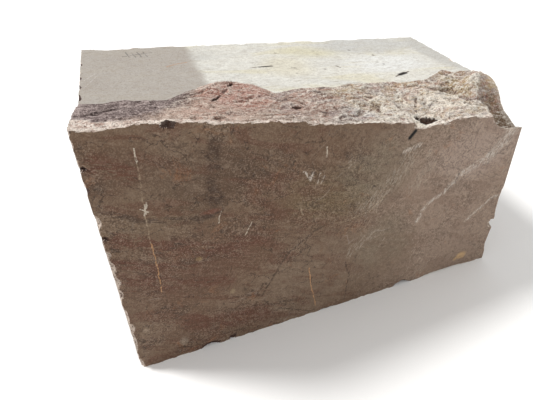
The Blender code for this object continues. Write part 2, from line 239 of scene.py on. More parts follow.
@dataclass(frozen=True)
class BrokenStrip:
    """The quarry break left along the front top edge. Stations are (x, value)."""

    cuts: SawCuts
    # How far back from the setting-out corner the sawn top ends:
    back_stations: Stations = metres((
        (0, 400), (100, 392), (170, 410), (270, 374), (330, 382), (410, 442), (500, 495),
        (620, 500), (700, 478), (765, 372), (870, 402), (1000, 398), (1040, 387), (1110, 414),
        (1230, 406), (1340, 408), (1370, 388), (1500, 399), (1600, 450), (1680, 505), (1720, 465),
        (1780, 470), (1900, 490),
    ))
    # Height of the front lip above the plane of the sawn top:
    lip_stations: Stations = metres((
        (0, 82), (50, 74), (100, 73), (220, 81), (300, 81), (420, 65), (540, 46), (740, 27),
        (870, 10), (1000, -2), (1140, -16), (1235, -24), (1256, -52), (1380, -52), (1415, -47),
        (1440, -33), (1530, -32), (1610, -39), (1700, -42), (1900, -45),
    ))
    mounds: tuple[Mound, ...] = tuple(Mound(*sizes) for sizes in metres((
        (120, 170, 100, 60, 6), (500, 400, 90, 60, 16), (630, 420, 110, 60, 34),
        (765, 330, 40, 60, -14), (970, 340, 120, 50, 10), (1100, 180, 90, 50, -12),
        (1340, 300, 110, 50, -10), (1580, 300, 70, 60, -20), (1600, 420, 70, 40, 14),
        (1720, 310, 90, 75, 56), (1830, 375, 60, 85, 36),
    )))
    rise_bulge: float = 1.5
    # Shell-shaped scoops as (width across the block, depth), the solid's own and finer ones:
    scoops: Stations = ((0.11, 0.02), (0.052, 0.01))
    fine_scoops: Stations = ((0.03, 0.007), (0.015, 0.0048))
    # How much of the fine scoops there is along the block, and of the swells and large scoops:
    fine_share: Stations = (
        (0.0, 0.9), (0.35, 0.8), (0.5, 0.8), (0.75, 0.85), (1.0, 1.1), (1.9, 1.1),
    )
    coarse_share: Stations = ((0.0, 0.55), (0.3, 0.65), (0.55, 1.0), (1.9, 1.0))
    swell_length: float = 0.2
    swell_height: float = 0.018
    stretch_along_x: float = 2.1
    # The ragged back edge, as (length, height) of its waves, coarse and fine:
    coarse_edge: Pair = (0.06, 0.012)
    fine_edge: Pair = (0.018, 0.006)
    # Over which share of the way from the back edge the mounds, the coarse relief and the fine
    # relief fade in, and over which the coarse relief falls to lip_share at the lip:
    mounds_fade: float = 0.12
    coarse_fade: float = 0.1
    fine_fade: float = 0.03
    lip_fade: float = 0.12
    lip_share: float = 0.35
    # How much noise bends the scoops, in widths, and which scooped noise counts as level:
    scoop_bend: float = 0.35
    scoop_middle: float = 0.25

    def back(self, x: Array) -> Array:
        """How far back the break reaches: its stations, with a ragged edge of noise.

        Args:
            x: Along the block.

        Returns:
            y of the break's back edge.
        """
        edge = along(self.back_stations, x)
        for seed, (length, height) in ((3, self.coarse_edge), (7, self.fine_edge)):
            places = np.stack((x / length, np.zeros_like(x), np.zeros_like(x)), axis=-1)
            edge = edge + height * Noise(seed).fractal(places)
        return edge

    def plan(self, x: Array, y: Array) -> Array:
        """Places in plan, shape (..., 3), with x shrunk so that what is drawn there is long."""
        return np.stack((x / self.stretch_along_x, y, np.zeros_like(x)), axis=-1)

    def relief(self, x: Array, y: Array, scoops: Stations, seed: int) -> Array:
        """Scoops of several sizes, stretched along x: for each size, its depth times the
        scooped noise at (x / stretch, y) / width, with the plan bent a little by noise.

        Args:
            x: Along the block.
            y: Across it.
            scoops: The sizes, as (width, depth).
            seed: Seed of the first size.

        Returns:
            Heights about 0.
        """
        plan = self.plan(x, y)
        height = np.zeros_like(x)
        for number, (width, depth) in enumerate(scoops):
            bend = self.scoop_bend * Noise(60 + number).fractal(plan / width)[..., None]
            scooped = Noise(seed + number).scooped(plan / width + bend)
            height = height + depth * (scooped - self.scoop_middle)
        return height

    def roughness(self, x: Array, y: Array) -> Array:
        """The coarse relief, heights about 0: broad swells of noise plus the large scoops."""
        swells = self.swell_height * Noise(11).fractal(self.plan(x, y) / self.swell_length)
        return (swells + self.relief(x, y, self.scoops, 80)) * along(self.coarse_share, x)

    def height(self, x: Array, y: Array) -> Array:
        """Height of the break above the plane of the sawn top.

        With s running from 0 at the back edge to 1 at the front, the height is the lip's times
        1 - (1 - s) ** bulge, plus each mound as a bell curve, plus the relief.

        Args:
            x: Along the block.
            y: Across it.

        Returns:
            Heights above the plane of the sawn top.
        """
        front = self.cuts.front(x, self.cuts.height)
        back = self.back(x)
        across = np.clip((back - y) / (back - front), 0.0, 1.0)
        height = along(self.lip_stations, x) * (1.0 - (1.0 - across) ** self.rise_bulge)
        for mound in self.mounds:
            away = ((x - mound.x) / mound.radius_x) ** 2 + ((y - mound.y) / mound.radius_y) ** 2
            height = height + mound.height * np.exp(-away) * np.clip(across / self.mounds_fade, 0.0, 1.0)
        at_back = np.clip(across / self.coarse_fade, 0.0, 1.0)
        at_lip = np.clip((1.0 - across) / self.lip_fade, self.lip_share, 1.0)
        fine = self.relief(x, y, self.fine_scoops, 90) * np.clip(across / self.fine_fade, 0.0, 1.0)
        fine = fine * along(self.fine_share, x)
        return height + self.roughness(x, y) * at_back * at_lip + fine


@dataclass(frozen=True)
class EndFlake:
    """The flake knocked off the right end of the strip: its crest in plan as (y, x), and its
    floor below the sawn top's plane where it meets the right end as (y, height)."""

    cuts: SawCuts
    strip: BrokenStrip
    crest_stations: Stations = metres((
        (50, 1634), (90, 1643), (130, 1656), (160, 1672), (175, 1691), (192, 1673), (212, 1662),
        (256, 1683), (320, 1742), (370, 1798), (430, 1860),
    ))
    floor_stations: Stations = metres((
        (50, -112), (90, -113), (120, -129), (150, -115), (170, -104), (210, -89), (235, -66),
        (255, -39), (280, -10), (300, 10), (360, 24), (440, 14),
    ))
    # How much of the strip's coarse relief its floor has:
    floor_roughness: float = 0.4
    steepness_front: float = 4.5
    steepness_back: float = 2.0
    front_y: float = 0.09
    back_y: float = 0.3

    def outwards(self, x: Array, y: Array) -> Array:
        """How far a place is from the crest, at 0, towards the right end, at 1."""
        crest, end = along(self.crest_stations, y), self.cuts.right(y, self.cuts.height)
        return (x - crest) / np.maximum(end - crest, 0.01)

    def height(self, x: Array, y: Array) -> Array:
        """Height of the break with the flake off, above the plane of the sawn top.

        From the crest the face falls as (1 - outwards) ** steepness, from the strip's height to
        the floor's, and the lower of this and the strip is kept.

        Args:
            x: Along the block.
            y: Across it.

        Returns:
            Heights above the plane of the sawn top.
        """
        strip = self.strip.height(x, y)
        outwards = self.outwards(x, y)
        backwards = np.clip((y - self.front_y) / (self.back_y - self.front_y), 0.0, 1.0)
        steepness = self.steepness_front + (self.steepness_back - self.steepness_front) * backwards
        remaining = np.clip(1.0 - outwards, 0.0, 1.0) ** steepness
        floor = along(self.floor_stations, y) + self.floor_roughness * self.strip.roughness(y, x)
        flaked = floor + (strip - floor) * remaining
        return np.where(outwards > 0.0, np.minimum(flaked, strip), strip)


@dataclass(frozen=True)
class Chip:
    """A knocked-out piece: the hollow left by a ragged ball, stretched to three radii. Some have
    their hollow painted dark, standing in for shade, and a fresh one is crushed pale."""

    name: str
    centre: Triple
    radii: Triple
    turn: float = 0.0
    painted_dark: bool = False
    raggedness: float = 0.26
    lumps: float = 1.9

    def reach(self, directions: Array) -> Array:
        """How far the ragged ball reaches each way, in radii: 1 plus noise over its directions."""
        unit = directions / np.maximum(np.linalg.norm(directions, axis=-1, keepdims=True), 1e-9)
        return 1.0 + self.raggedness * Noise(sum(self.name.encode())).fractal(unit * self.lumps)

    def bite(self, points: Array, inward: Array) -> Array:
        """Pushes the points inside the ball along one direction until they are on its far side.

        In units of the radii a point p leaves a ball of radius R along d after
        t = -p.d + sqrt((p.d) ** 2 - p.p + R ** 2), with d of length 1. R is the ragged reach in
        the direction that the point has by then, so it is worked out a few times over.

        Args:
            points: Places near the surface, shape (n, 3). They are moved in place.
            inward: The direction into the stone, shape (3,).

        Returns:
            Which points moved, shape (n,).
        """
        turn = np.array(Matrix.Rotation(math.radians(self.turn), 3, "Z"))
        local = (points - np.array(self.centre)) @ turn / np.array(self.radii)
        push = inward @ turn / np.array(self.radii)
        stretch = np.linalg.norm(push)
        push = push / stretch
        near = np.flatnonzero((local**2).sum(axis=1) < (1.0 + self.raggedness) ** 2)
        local = local[near]
        inside = np.linalg.norm(local, axis=1) < self.reach(local)
        near, local = near[inside], local[inside]
        along_push = local @ push
        travel = np.zeros(len(near))
        for _ in range(5):
            reach = self.reach(local + travel[:, None] * push)
            room = np.maximum(along_push**2 - (local**2).sum(axis=1) + reach**2, 0.0)
            travel = np.maximum(np.sqrt(room) - along_push, 0.0)
        points[near] += (travel / stretch)[:, None] * inward
        moved = np.zeros(len(points), bool)
        moved[near] = True
        return moved


@dataclass(frozen=True)
class Chipping:
    """The knocks on the arrises and the pockets in the strip, from the large ones that the
    solid has to nibbles a few millimetres across."""

    cuts: SawCuts
    # Name, centre, radii, turn about z in degrees, and whether its hollow is painted dark as shade:
    chips: tuple[Chip, ...] = tuple(Chip(name, *map(metres, rest[:2]), *rest[2:]) for name, *rest in (
        ("lip_scallop", (299, 36, 1104), (34, 26, 24), 0.0, True),
        ("left_nick_high", (12, 34, 1003), (20, 22, 9), 0.0, True),
        ("left_nick_upper", (4, 30, 925), (14, 22, 18), 0.0, True),
        ("left_spall_upper", (6, 26, 800), (17, 20, 30)),
        ("left_notch", (8, 22, 726), (22, 22, 11), 0.0, True),
        ("left_spall_long", (0, 14, 570), (16, 20, 150)),
        ("left_spall_first", (4, 12, 655), (22, 20, 24)),
        ("left_spall_second", (4, 10, 592), (24, 22, 36)),
        ("left_spall_third", (2, 10, 520), (26, 20, 30)),
        ("left_spall_fourth", (2, 8, 455), (21, 20, 30)),
        ("left_spall_low", (0, 8, 335), (14, 18, 55)),
        ("left_spall_fifth", (2, 4, 262), (23, 18, 30)),
        ("left_spall_foot", (0, 2, 190), (15, 16, 70)),
        ("left_foot_corner", (-6, -6, 20), (22, 22, 55)),
        ("base_chip_left", (316, 0, 6), (46, 24, 23), 0.0, True),
        ("base_chip_left_small", (416, 4, 12), (22, 18, 20), 0.0, True),
        ("base_chip_middle", (905, 20, -6), (60, 20, 12), 0.0, True),
        ("base_chip_right", (1330, 34, 0), (46, 24, 24), 0.0, True),
        ("base_spall_right", (1600, 46, -4), (170, 20, 16)),
        ("right_notch", (1838, 56, 245), (26, 34, 26)),
        ("right_spall", (1856, 64, 400), (26, 30, 120)),
        ("right_spall_foot", (1862, 52, 140), (24, 28, 90)),
        ("end_arris_chip", (1834, 612, 934), (20, 34, 20)),
        ("end_arris_chip_front", (1840, 520, 928), (18, 30, 14)),
        ("left_arris_chip_back", (22, 800, 1084), (12, 18, 10), 0.0, True),
        ("left_arris_chip_middle", (20, 645, 1078), (12, 16, 10), 0.0, True),
        ("left_arris_chip", (16, 552, 1076), (14, 22, 12), 0.0, True),
        ("left_arris_chip_front", (14, 452, 1074), (18, 36, 14), 0.0, True),
        ("back_arris_flake", (190, 1000, 1080), (110, 24, 18)),
        ("back_arris_chip", (1240, 1010, 992), (55, 26, 30)),
        ("back_corner_left", (22, 998, 560), (26, 24, 60), 0.0, True),
        ("back_corner_right", (1852, 1016, 420), (30, 28, 85)),
        ("back_foot_chip", (700, 1002, 4), (80, 26, 34)),
        ("end_foot_chip", (1862, 560, 6), (20, 60, 30)),
        ("pocket_deep", (1325, 121, 909), (48, 31, 46), -8.0, True),
        ("pocket_slot", (1366, 254, 922), (11, 56, 18), -34.0),
        ("strip_groove", (508, 308, 1058), (6, 46, 18), -36.0, True),
        ("hill_slot", (588, 412, 1060), (8, 24, 20), -34.0, True),
        ("strip_pit", (530, 172, 1068), (40, 24, 26), 12.0, True),
        ("strip_pit_right", (800, 215, 1012), (30, 16, 18), 0.0, True),
    ))
    knock_spacing: float = 0.17
    knock_lengths: Pair = (0.015, 0.05)
    knock_depths: Pair = (0.006, 0.013)
    knock_clear_of_corners: float = 0.05
    knock_seed: int = 12
    nibble_spacing: float = 0.034
    nibble_lengths: Pair = (0.004, 0.022)
    nibble_depths: Pair = (0.0018, 0.0046)
    nibble_seed: int = 31

    def knocks(self) -> list[Chip]:
        """The small knocks scattered along the arrises out of sight of the front, each at its
        own share of the arris and stretched along it.

        Returns:
            The knocks, in the order that the arrises are listed.
        """
        chance = np.random.default_rng(self.knock_seed)
        at = self.cuts.corner
        arrises = (
            (at(0, 1, 0.0), at(0, 1)), (at(1, 1, 0.0), at(1, 1)), (at(0, 0, 0.0), at(0, 1, 0.0)),
            (at(1, 0, 0.0), at(1, 1, 0.0)), (at(0, 1, 0.0), at(1, 1, 0.0)), (at(0, 1), at(1, 1)),
        )
        found = []
        for start, end in arrises:
            run = end - start
            lengthwise = int(np.abs(run).argmax())
            count = round(float(np.linalg.norm(run)) / self.knock_spacing)
            for number in range(count):
                part_way = (number + chance.uniform(0.1, 0.9)) / count
                room = self.knock_clear_of_corners
                place = start + run * (room + part_way * (1.0 - 2.0 * room))
                radii = list(chance.uniform(*self.knock_depths, size=3))
                radii[lengthwise] = chance.uniform(*self.knock_lengths)
                found.append(Chip(f"knock_{len(found)}", tuple(place), tuple(radii)))
        return found

    def nibbles(self, arrises: list[Array]) -> list[Chip]:
        """The smallest knocks, all along the given lines, some sunk in and some only grazing.

        Args:
            arrises: Lines of points, each shape (n, 3).

        Returns:
            The nibbles, in the order of the lines.
        """
        chance = np.random.default_rng(self.nibble_seed)
        found = []
        for line in arrises:
            steps = np.linalg.norm(np.diff(line, axis=0), axis=1)
            at = np.concatenate(((0.0,), np.cumsum(steps)))
            count = int(at[-1] / self.nibble_spacing)
            places = np.sort(chance.uniform(0.0, at[-1], count))
            centres = np.stack([np.interp(places, at, line[:, axis]) for axis in range(3)], axis=1)
            lengthwise = int(np.abs(line[-1] - line[0]).argmax())
            radii = chance.uniform(*self.nibble_depths, size=(count, 3))
            radii[:, lengthwise] = chance.uniform(*self.nibble_lengths, size=count)
            for centre, size in zip(centres, radii):
                found.append(Chip(f"nibble_{len(found)}", tuple(centre), tuple(size)))
        return found


class Finish(Enum):
    """Which finish a face of the block has. The value is its material slot."""

    SAWN = 0
    DUSTED = 1
    BROKEN = 2


@dataclass
class Surface:
    """A surface being put together from sheets and rings of points."""

    points: list[Array] = field(default_factory=list)
    quads: list[Array] = field(default_factory=list)
    finishes: list[Array] = field(default_factory=list)
    count: int = 0

    def add(self, points: Array, quads: Array, finish: Finish) -> None:
        """Takes in some faces.

        Args:
            points: Shape (n, 3).
            quads: Indices into the points, shape (q, 4), anticlockwise from outside.
            finish: The faces' finish.
        """
        self.points.append(points)
        self.quads.append(quads + self.count)
        self.finishes.append(np.full(len(quads), finish.value))
        self.count += len(points)

    def add_sheet(self, grid: Array, finish: Finish) -> None:
        """Takes in a grid of points. It faces the side from which its columns, taken as right,
        and its rows, taken as up, look square.

        Args:
            grid: Points, shape (rows, columns, 3).
            finish: The sheet's finish.
        """
        rows, columns = grid.shape[:2]
        index = np.arange(rows * columns).reshape(rows, columns)
        quads = np.stack((index[:-1, :-1], index[:-1, 1:], index[1:, 1:], index[1:, :-1]), axis=-1)
        self.add(grid.reshape(-1, 3), quads.reshape(-1, 4), finish)

    def add_rings(self, rings: Array, finish: Finish) -> None:
        """Takes in rings of points, each joined to the next. The last one is folded flat or drawn
        to one point, so that it closes the face. It faces the side from which the rings run
        anticlockwise.

        Args:
            rings: Points, shape (rings, around, 3), the outermost ring first.
            finish: The face's finish.
        """
        count, around = rings.shape[:2]
        index = np.arange(count * around).reshape(count, around)
        ahead = np.roll(index, -1, axis=1)
        quads = np.stack((index[:-1], ahead[:-1], ahead[1:], index[1:]), axis=-1)
        self.add(rings.reshape(-1, 3), quads.reshape(-1, 4), finish)

    def welded(self) -> tuple[Array, Array, Array, Array, Array]:
        """Makes one point of those that lie on the same micron, and a triangle of each quad
        whose last two points are then one.

        Returns:
            The points, the quads, their finishes, the triangles and their finishes.
        """
        points = np.concatenate(self.points)
        keys = np.round(points * 1e6).astype(np.int64)
        _, first, index = np.unique(keys, axis=0, return_index=True, return_inverse=True)
        quads = index.reshape(-1)[np.concatenate(self.quads)]
        finishes = np.concatenate(self.finishes)
        pinched = quads[:, 2] == quads[:, 3]
        triangles = quads[pinched, :3]
        return points[first], quads[~pinched], finishes[~pinched], triangles, finishes[pinched]


def line(start: Array, end: Array, steps: int) -> Array:
    """Points on a straight line: start plus a share of the way to the end, at even steps."""
    return np.linspace(start, end, steps + 1)


def joined(*lines: Array) -> Array:
    """A closed loop from lines that follow on from each other, each without its last point."""
    return np.concatenate([points[:-1] for points in lines])


def normals_of(points: Array, quads: Array, triangles: Array) -> Array:
    """The normal at each point: the sum of its faces' normals, each as long as its area.

    Args:
        points: Shape (n, 3).
        quads: Shape (q, 4). A quad's normal is the cross product of its diagonals.
        triangles: Shape (t, 3).

    Returns:
        Unit normals, shape (n, 3).
    """
    total = np.zeros_like(points)
    for faces in (quads, triangles):
        corners = points[faces]
        first = corners[:, 2] - corners[:, 0]
        second = corners[:, -1] - corners[:, 1]
        across = np.cross(first, second)
        for corner in range(faces.shape[1]):
            np.add.at(total, faces[:, corner], across)
    return total / np.maximum(np.linalg.norm(total, axis=1, keepdims=True), 1e-12)


@dataclass
class Side:
    """The arrises round one end of the block, as lines of points: the foot and the crown run
    back, the rises run up, and upper is the strip's edge and the crown in one."""

    foot: Array
    rise_front: Array
    rise_back: Array
    crown: Array
    upper: Array


@dataclass
class MarbleBlock:
    """The whole block: one closed surface of a broken strip and six sawn faces."""

    cuts: SawCuts = field(default_factory=SawCuts)
    columns: int = 400
    strip_rows: int = 104
    side_steps: int = 116
    depth_steps: int = 170
    height_steps: int = 190
    # How far each ring of a sawn face is drawn in from the arris, closest at the worn arris:
    ring_insets: tuple[float, ...] = (0.0, 0.003, 0.006, 0.0095, 0.014, 0.02, 0.03, 0.06, 0.16)
    # The line inside a long face that its rings are drawn to runs between these shares of the
    # block's length, this far back or this high up.
    spine_ends: Pair = (0.2, 0.8)
    spine_depth_top: float = 0.75
    spine_depth_base: float = 0.5
    spine_height: float = 0.55
    grain_size: float = 0.009
    grain_height: float = 0.0011
    halo_reach: float = 1.35
    grain_sideways: float = 0.7
    # How near a face a chip has to be to be cut into it, in radii of the chip:
    near_face: float = 0.8
    # The reliefs that the broken finish reads, for its painted shade in hollows and painted highlight on
    # ridges: rounds of smoothing, and the height that is 1.
    reliefs: dict[str, tuple[int, float]] = field(
        default_factory=lambda: {"fine_relief": (5, 0.002), "broad_relief": (60, 0.008)}
    )
    sharp_angle: float = math.radians(38)

    def __post_init__(self) -> None:
        """Sets out the strip, the flake and the chips on the saw cuts."""
        self.strip = BrokenStrip(self.cuts)
        self.flake = EndFlake(self.cuts, self.strip)
        self.chipping = Chipping(self.cuts)

    def upper(self, x: Array, y: Array) -> Array:
        """Height of the block's upper surface above the floor: the sawn plane plus the break."""
        return self.cuts.top(x, y) + self.flake.height(x, y)

    def strip_grid(self) -> Array:
        """The broken strip as a function of u, the share of the way along the block, and v, the
        share of the way from the front face to the sawn top's edge. The front face leans and
        the ends are askew, so x and y hang on z: they settle in a few rounds.

        Returns:
            Points, shape (rows + 1, columns + 1, 3).
        """
        u, v = np.meshgrid(
            np.linspace(0.0, 1.0, self.columns + 1), np.linspace(0.0, 1.0, self.strip_rows + 1)
        )
        x, y = u * self.cuts.length, v * self.cuts.depth / 2
        z = np.full_like(x, self.cuts.height)
        for _ in range(4):
            x = self.cuts.between_ends(u, y, z)
            front = self.cuts.front(x, z)
            y = front + v * (self.strip.back(x) - front)
            z = self.upper(x, y)
        return np.stack((x, y, z), axis=-1)

    def sawn_face(
        self, surface: Surface, loop: Array, shares: Array, depth: float, normal_axis: int, finish: Finish
    ) -> None:
        """Adds a flat face inside a loop: rings drawn from the loop towards a spine in the middle
        of the face, each point then put back on the saw cut along one axis.

        Args:
            surface: What to add it to.
            loop: Points round it, anticlockwise from outside, shape (n, 3).
            shares: How far along the block each point's place on the spine is, 0 to 1.
            depth: How far back the spine is. On the front and back faces the cut decides it.
            normal_axis: The axis that the face looks along: 0, 1 or 2.
            finish: The face's finish.
        """
        depths, heights = np.full(len(loop), depth), np.full(len(loop), self.spine_height)
        spine = np.stack((self.cuts.between_ends(shares, depths, heights), depths, heights), axis=1)
        run = np.linalg.norm(np.delete(spine - loop, normal_axis, axis=1), axis=1)
        insets = np.array(self.ring_insets)[:, None]
        rings = loop + (insets / run)[..., None] * (spine - loop)
        rings = np.concatenate((rings, spine[None]))
        near_side = loop[:, normal_axis].mean() < self.cuts.depth / 2
        x, y, z = np.moveaxis(rings[1:], -1, 0)
        if normal_axis == 0:
            plane = self.cuts.left(y, z) if near_side else self.cuts.right(y, z)
        elif normal_axis == 1:
            plane = self.cuts.front(x, z) if near_side else self.cuts.back(x)
        else:
            plane = 0.0 if near_side else self.cuts.top(x, y)
        rings[1:, :, normal_axis] = plane
        surface.add_rings(rings, finish)

    def side(self, right: int, profile: Array) -> Side:
        """Sets out the arrises round one end of the block.

        Args:
            right: 0 for the left end, 1 for the right end.
            profile: The strip's edge there, from the lip to the sawn top.

        Returns:
            The arrises.
        """
        front, back = self.cuts.corner(right, 0, 0.0), self.cuts.corner(right, 1, 0.0)
        top = self.cuts.corner(right, 1)
        crown = line(profile[-1], top, self.side_steps)
        return Side(
            foot=line(front, back, self.depth_steps),
            rise_front=line(front, profile[0], self.height_steps),
            rise_back=line(back, top, self.height_steps),
            crown=crown,
            upper=np.concatenate((profile, crown[1:])),
        )

    def build_surface(self) -> tuple[Surface, list[Array]]:
        """Builds the strip and the six sawn faces, which share the points of their arrises.

        The loop round a long face is four lines: one that runs right, the one at the right end,
        one that runs left and the one at the left end.

        Returns:
            The surface, and the arrises as lines of points.
        """
        strip = self.strip_grid()
        lip, brow = strip[0], strip[-1]
        left, right = self.side(0, strip[:, 0]), self.side(1, strip[:, -1])
        foot_front = line(left.foot[0], right.foot[0], self.columns)
        foot_back = line(left.foot[-1], right.foot[-1], self.columns)
        crown_back = line(left.crown[-1], right.crown[-1], self.columns)

        surface = Surface()
        surface.add_sheet(strip, Finish.BROKEN)
        low, high = self.spine_depth_base, self.spine_depth_top
        long_faces = (
            ((brow, right.crown, crown_back[::-1], left.crown[::-1]), high, 2, Finish.DUSTED),
            ((foot_front, right.rise_front, lip[::-1], left.rise_front[::-1]), low, 1, Finish.SAWN),
            ((crown_back, right.rise_back[::-1], foot_back[::-1], left.rise_back), low, 1, Finish.SAWN),
            ((foot_back, right.foot[::-1], foot_front[::-1], left.foot), low, 2, Finish.SAWN),
        )
        rising = np.linspace(0.0, 1.0, self.columns + 1)
        for lines, depth, normal_axis, finish in long_faces:
            shares = joined(rising, np.ones(len(lines[1])), rising[::-1], np.zeros(len(lines[3])))
            shares = np.clip(shares, *self.spine_ends)
            self.sawn_face(surface, joined(*lines), shares, depth, normal_axis, finish)
        ends = (
            joined(left.foot[::-1], left.rise_front, left.upper, left.rise_back[::-1]),
            joined(right.foot, right.rise_back, right.upper[::-1], right.rise_front[::-1]),
        )
        for share, loop in enumerate(ends):
            self.sawn_face(surface, loop, np.full(len(loop), share), low, 0, Finish.SAWN)
        arrises = [
            lip, foot_front, foot_back, left.foot, right.foot, crown_back, left.crown, right.crown,
            left.rise_front, left.rise_back, right.rise_back,
        ]
        return surface, arrises

    def inward(self, chip: Chip) -> Array:
        """The way into the stone from a chip: away from each face that it is near.

        Args:
            chip: The chip.

        Returns:
            A unit vector.
        """
        x, y, z = chip.centre
        cuts = self.cuts
        depths = (
            (x - cuts.left(y, z), (1.0, 0.0, 0.0)),
            (cuts.right(y, z) - x, (-1.0, 0.0, 0.0)),
            (y - cuts.front(x, z), (0.0, 1.0, 0.0)),
            (cuts.back(x) - y, (0.0, -1.0, 0.0)),
            (z, (0.0, 0.0, 1.0)),
            (self.upper(np.array([x]), np.array([y]))[0] - z, (0.0, 0.0, -1.0)),
        )
        total = np.zeros(3)
        for depth, inward in depths:
            inward = np.array(inward)
            if depth < self.near_face * float(np.abs(inward) @ np.array(chip.radii)):
                total += inward
        return total / max(float(np.linalg.norm(total)), 1e-9)

    def cut_chips(self, points: Array, arrises: list[Array]) -> tuple[Array, Array]:
        """Cuts every chip, from the largest to the nibbles.

        A chip's halo, where the stone is crushed but not gone, fades from 1 at the ball's skin
        to 0 at halo_reach radii from its centre. A chip whose hollow is painted dark has none: its
        hollow gets -1, which the finishes paint dark as shade.

        Args:
            points: Shape (n, 3), moved in place.
            arrises: The lines that the nibbles follow.

        Returns:
            Which points are in a chip, and how crushed each point is, 0 to 1, with -1 in a hollow that
            is painted dark as shade, both shape (n,).
        """
        chipped = np.zeros(len(points), bool)
        crushed_or_shaded = np.zeros(len(points))
        chips = (*self.chipping.chips, *self.chipping.knocks(), *self.chipping.nibbles(arrises))
        for chip in chips:
            from_centre = points - np.array(chip.centre)
            near = np.flatnonzero(np.abs(from_centre).max(axis=1) < self.halo_reach * max(chip.radii))
            patch = points[near]
            radii_away = np.linalg.norm(from_centre[near] / np.array(chip.radii), axis=1)
            moved = chip.bite(patch, self.inward(chip))
            # A hollow that the finishes paint dark as shade is marked -1.
            if chip.painted_dark:
                crushed_or_shaded[near[moved]] = -1.0
            else:
                halo = np.clip((self.halo_reach - radii_away) / (self.halo_reach - 1.0), 0.0, 1.0)
                crushed_or_shaded[near] = np.where(crushed_or_shaded[near] < 0.0, -1.0, np.maximum(crushed_or_shaded[near], halo))
            points[near] = patch
            chipped[near[moved]] = True
        return chipped, crushed_or_shaded

    def roughen(self, points: Array, normals: Array, broken: Array) -> None:
        """Gives broken stone its small grain: noise along the normal, and a little every way so
        that it isn't all one height over the plan.

        Args:
            points: Shape (n, 3), moved in place.
            normals: Their normals, shape (n, 3).
            broken: How broken the stone is there, 0 to 1, shape (n,).
        """
        here = np.flatnonzero(broken)
        places = points[here] / self.grain_size
        outwards = Noise(201).fractal(places, 2)[:, None] * normals[here]
        sideways = np.stack([Noise(211 + 10 * axis).fractal(places, 2) for axis in range(3)], axis=1)
        points[here] += self.grain_height * (outwards + self.grain_sideways * sideways)
        points[:, 2] = np.maximum(points[:, 2], 0.0)

    def relief(self, points: Array, quads: Array, triangles: Array, rounds: int) -> Array:
        """How far each point stands out from its surroundings: its distance, along the normal,
        from where it goes when every point moves to the mean of its neighbours a few times.

        Args:
            points: Shape (n, 3).
            quads: Shape (q, 4).
            triangles: Shape (t, 3).
            rounds: How many times the points move. More rounds compare with a wider area.

        Returns:
            Metres, more than 0 on a ridge and less in a hollow, shape (n,).
        """
        ends = [
            np.stack((faces[:, corner], faces[:, corner - 1]), axis=1)
            for faces in (quads, triangles)
            for corner in range(faces.shape[1])
        ]
        edges = np.unique(np.sort(np.concatenate(ends), axis=1), axis=0)
        first, second = np.concatenate((edges, edges[:, ::-1])).T
        neighbours = np.bincount(first, minlength=len(points))[:, None]
        smoothed = points
        for _ in range(rounds):
            total = [np.bincount(first, smoothed[second, axis], len(points)) for axis in range(3)]
            smoothed = np.stack(total, axis=1) / neighbours
        normals = normals_of(smoothed, quads, triangles)
        return ((points - smoothed) * normals).sum(axis=1)

    def build(self) -> bpy.types.Object:
        """Builds the block's mesh, with its finishes and the attributes that its materials read: how
        crushed the stone is, with -1 in chip hollows painted dark as shade, and fine_relief and
        broad_relief, which the broken finish paints as shade in hollows and highlight on ridges.

        Returns:
            The block, with its place in its mesh.
        """
        surface, arrises = self.build_surface()
        points, quads, quad_finishes, triangles, triangle_finishes = surface.welded()
        broken = np.zeros(len(points))
        broken[quads[quad_finishes == Finish.BROKEN.value]] = 1.0
        chipped, crushed_or_shaded = self.cut_chips(points, arrises)
        broken[chipped] = 1.0
        quad_finishes[chipped[quads].sum(axis=1) >= 3] = Finish.BROKEN.value
        triangle_finishes[chipped[triangles].all(axis=1)] = Finish.BROKEN.value
        self.roughen(points, normals_of(points, quads, triangles), broken)
        values = {"crushed_or_shaded": crushed_or_shaded}
        for name, (rounds, full) in self.reliefs.items():
            values[name] = self.relief(points, quads, triangles, rounds) / full * broken

        mesh = bpy.data.meshes.new("marble_block_dressed")
        placed = points - self.cuts.base_centre()
        mesh.from_pydata(placed.tolist(), [], quads.tolist() + triangles.tolist())
        for name, value in values.items():
            attribute = mesh.attributes.new(name, "FLOAT", "POINT")
            attribute.data.foreach_set("value", np.clip(value, -1.0, 1.0).astype(np.float32))
        finishes = np.concatenate((quad_finishes, triangle_finishes)).astype(np.int32)
        mesh.set_sharp_from_angle(angle=self.sharp_angle)
        mesh.polygons.foreach_set("material_index", finishes)
        mesh.polygons.foreach_set("use_smooth", finishes == Finish.BROKEN.value)
        mesh.validate()
        mesh.update()
        block = bpy.data.objects.new("marble_block_dressed", mesh)
        bpy.context.scene.collection.objects.link(block)
        return block


Tree = bpy.types.NodeTree
Socket = bpy.types.NodeSocket
Value = Socket | float | tuple[float, ...]
ORIGIN = (0.0, 0.0, 0.0)


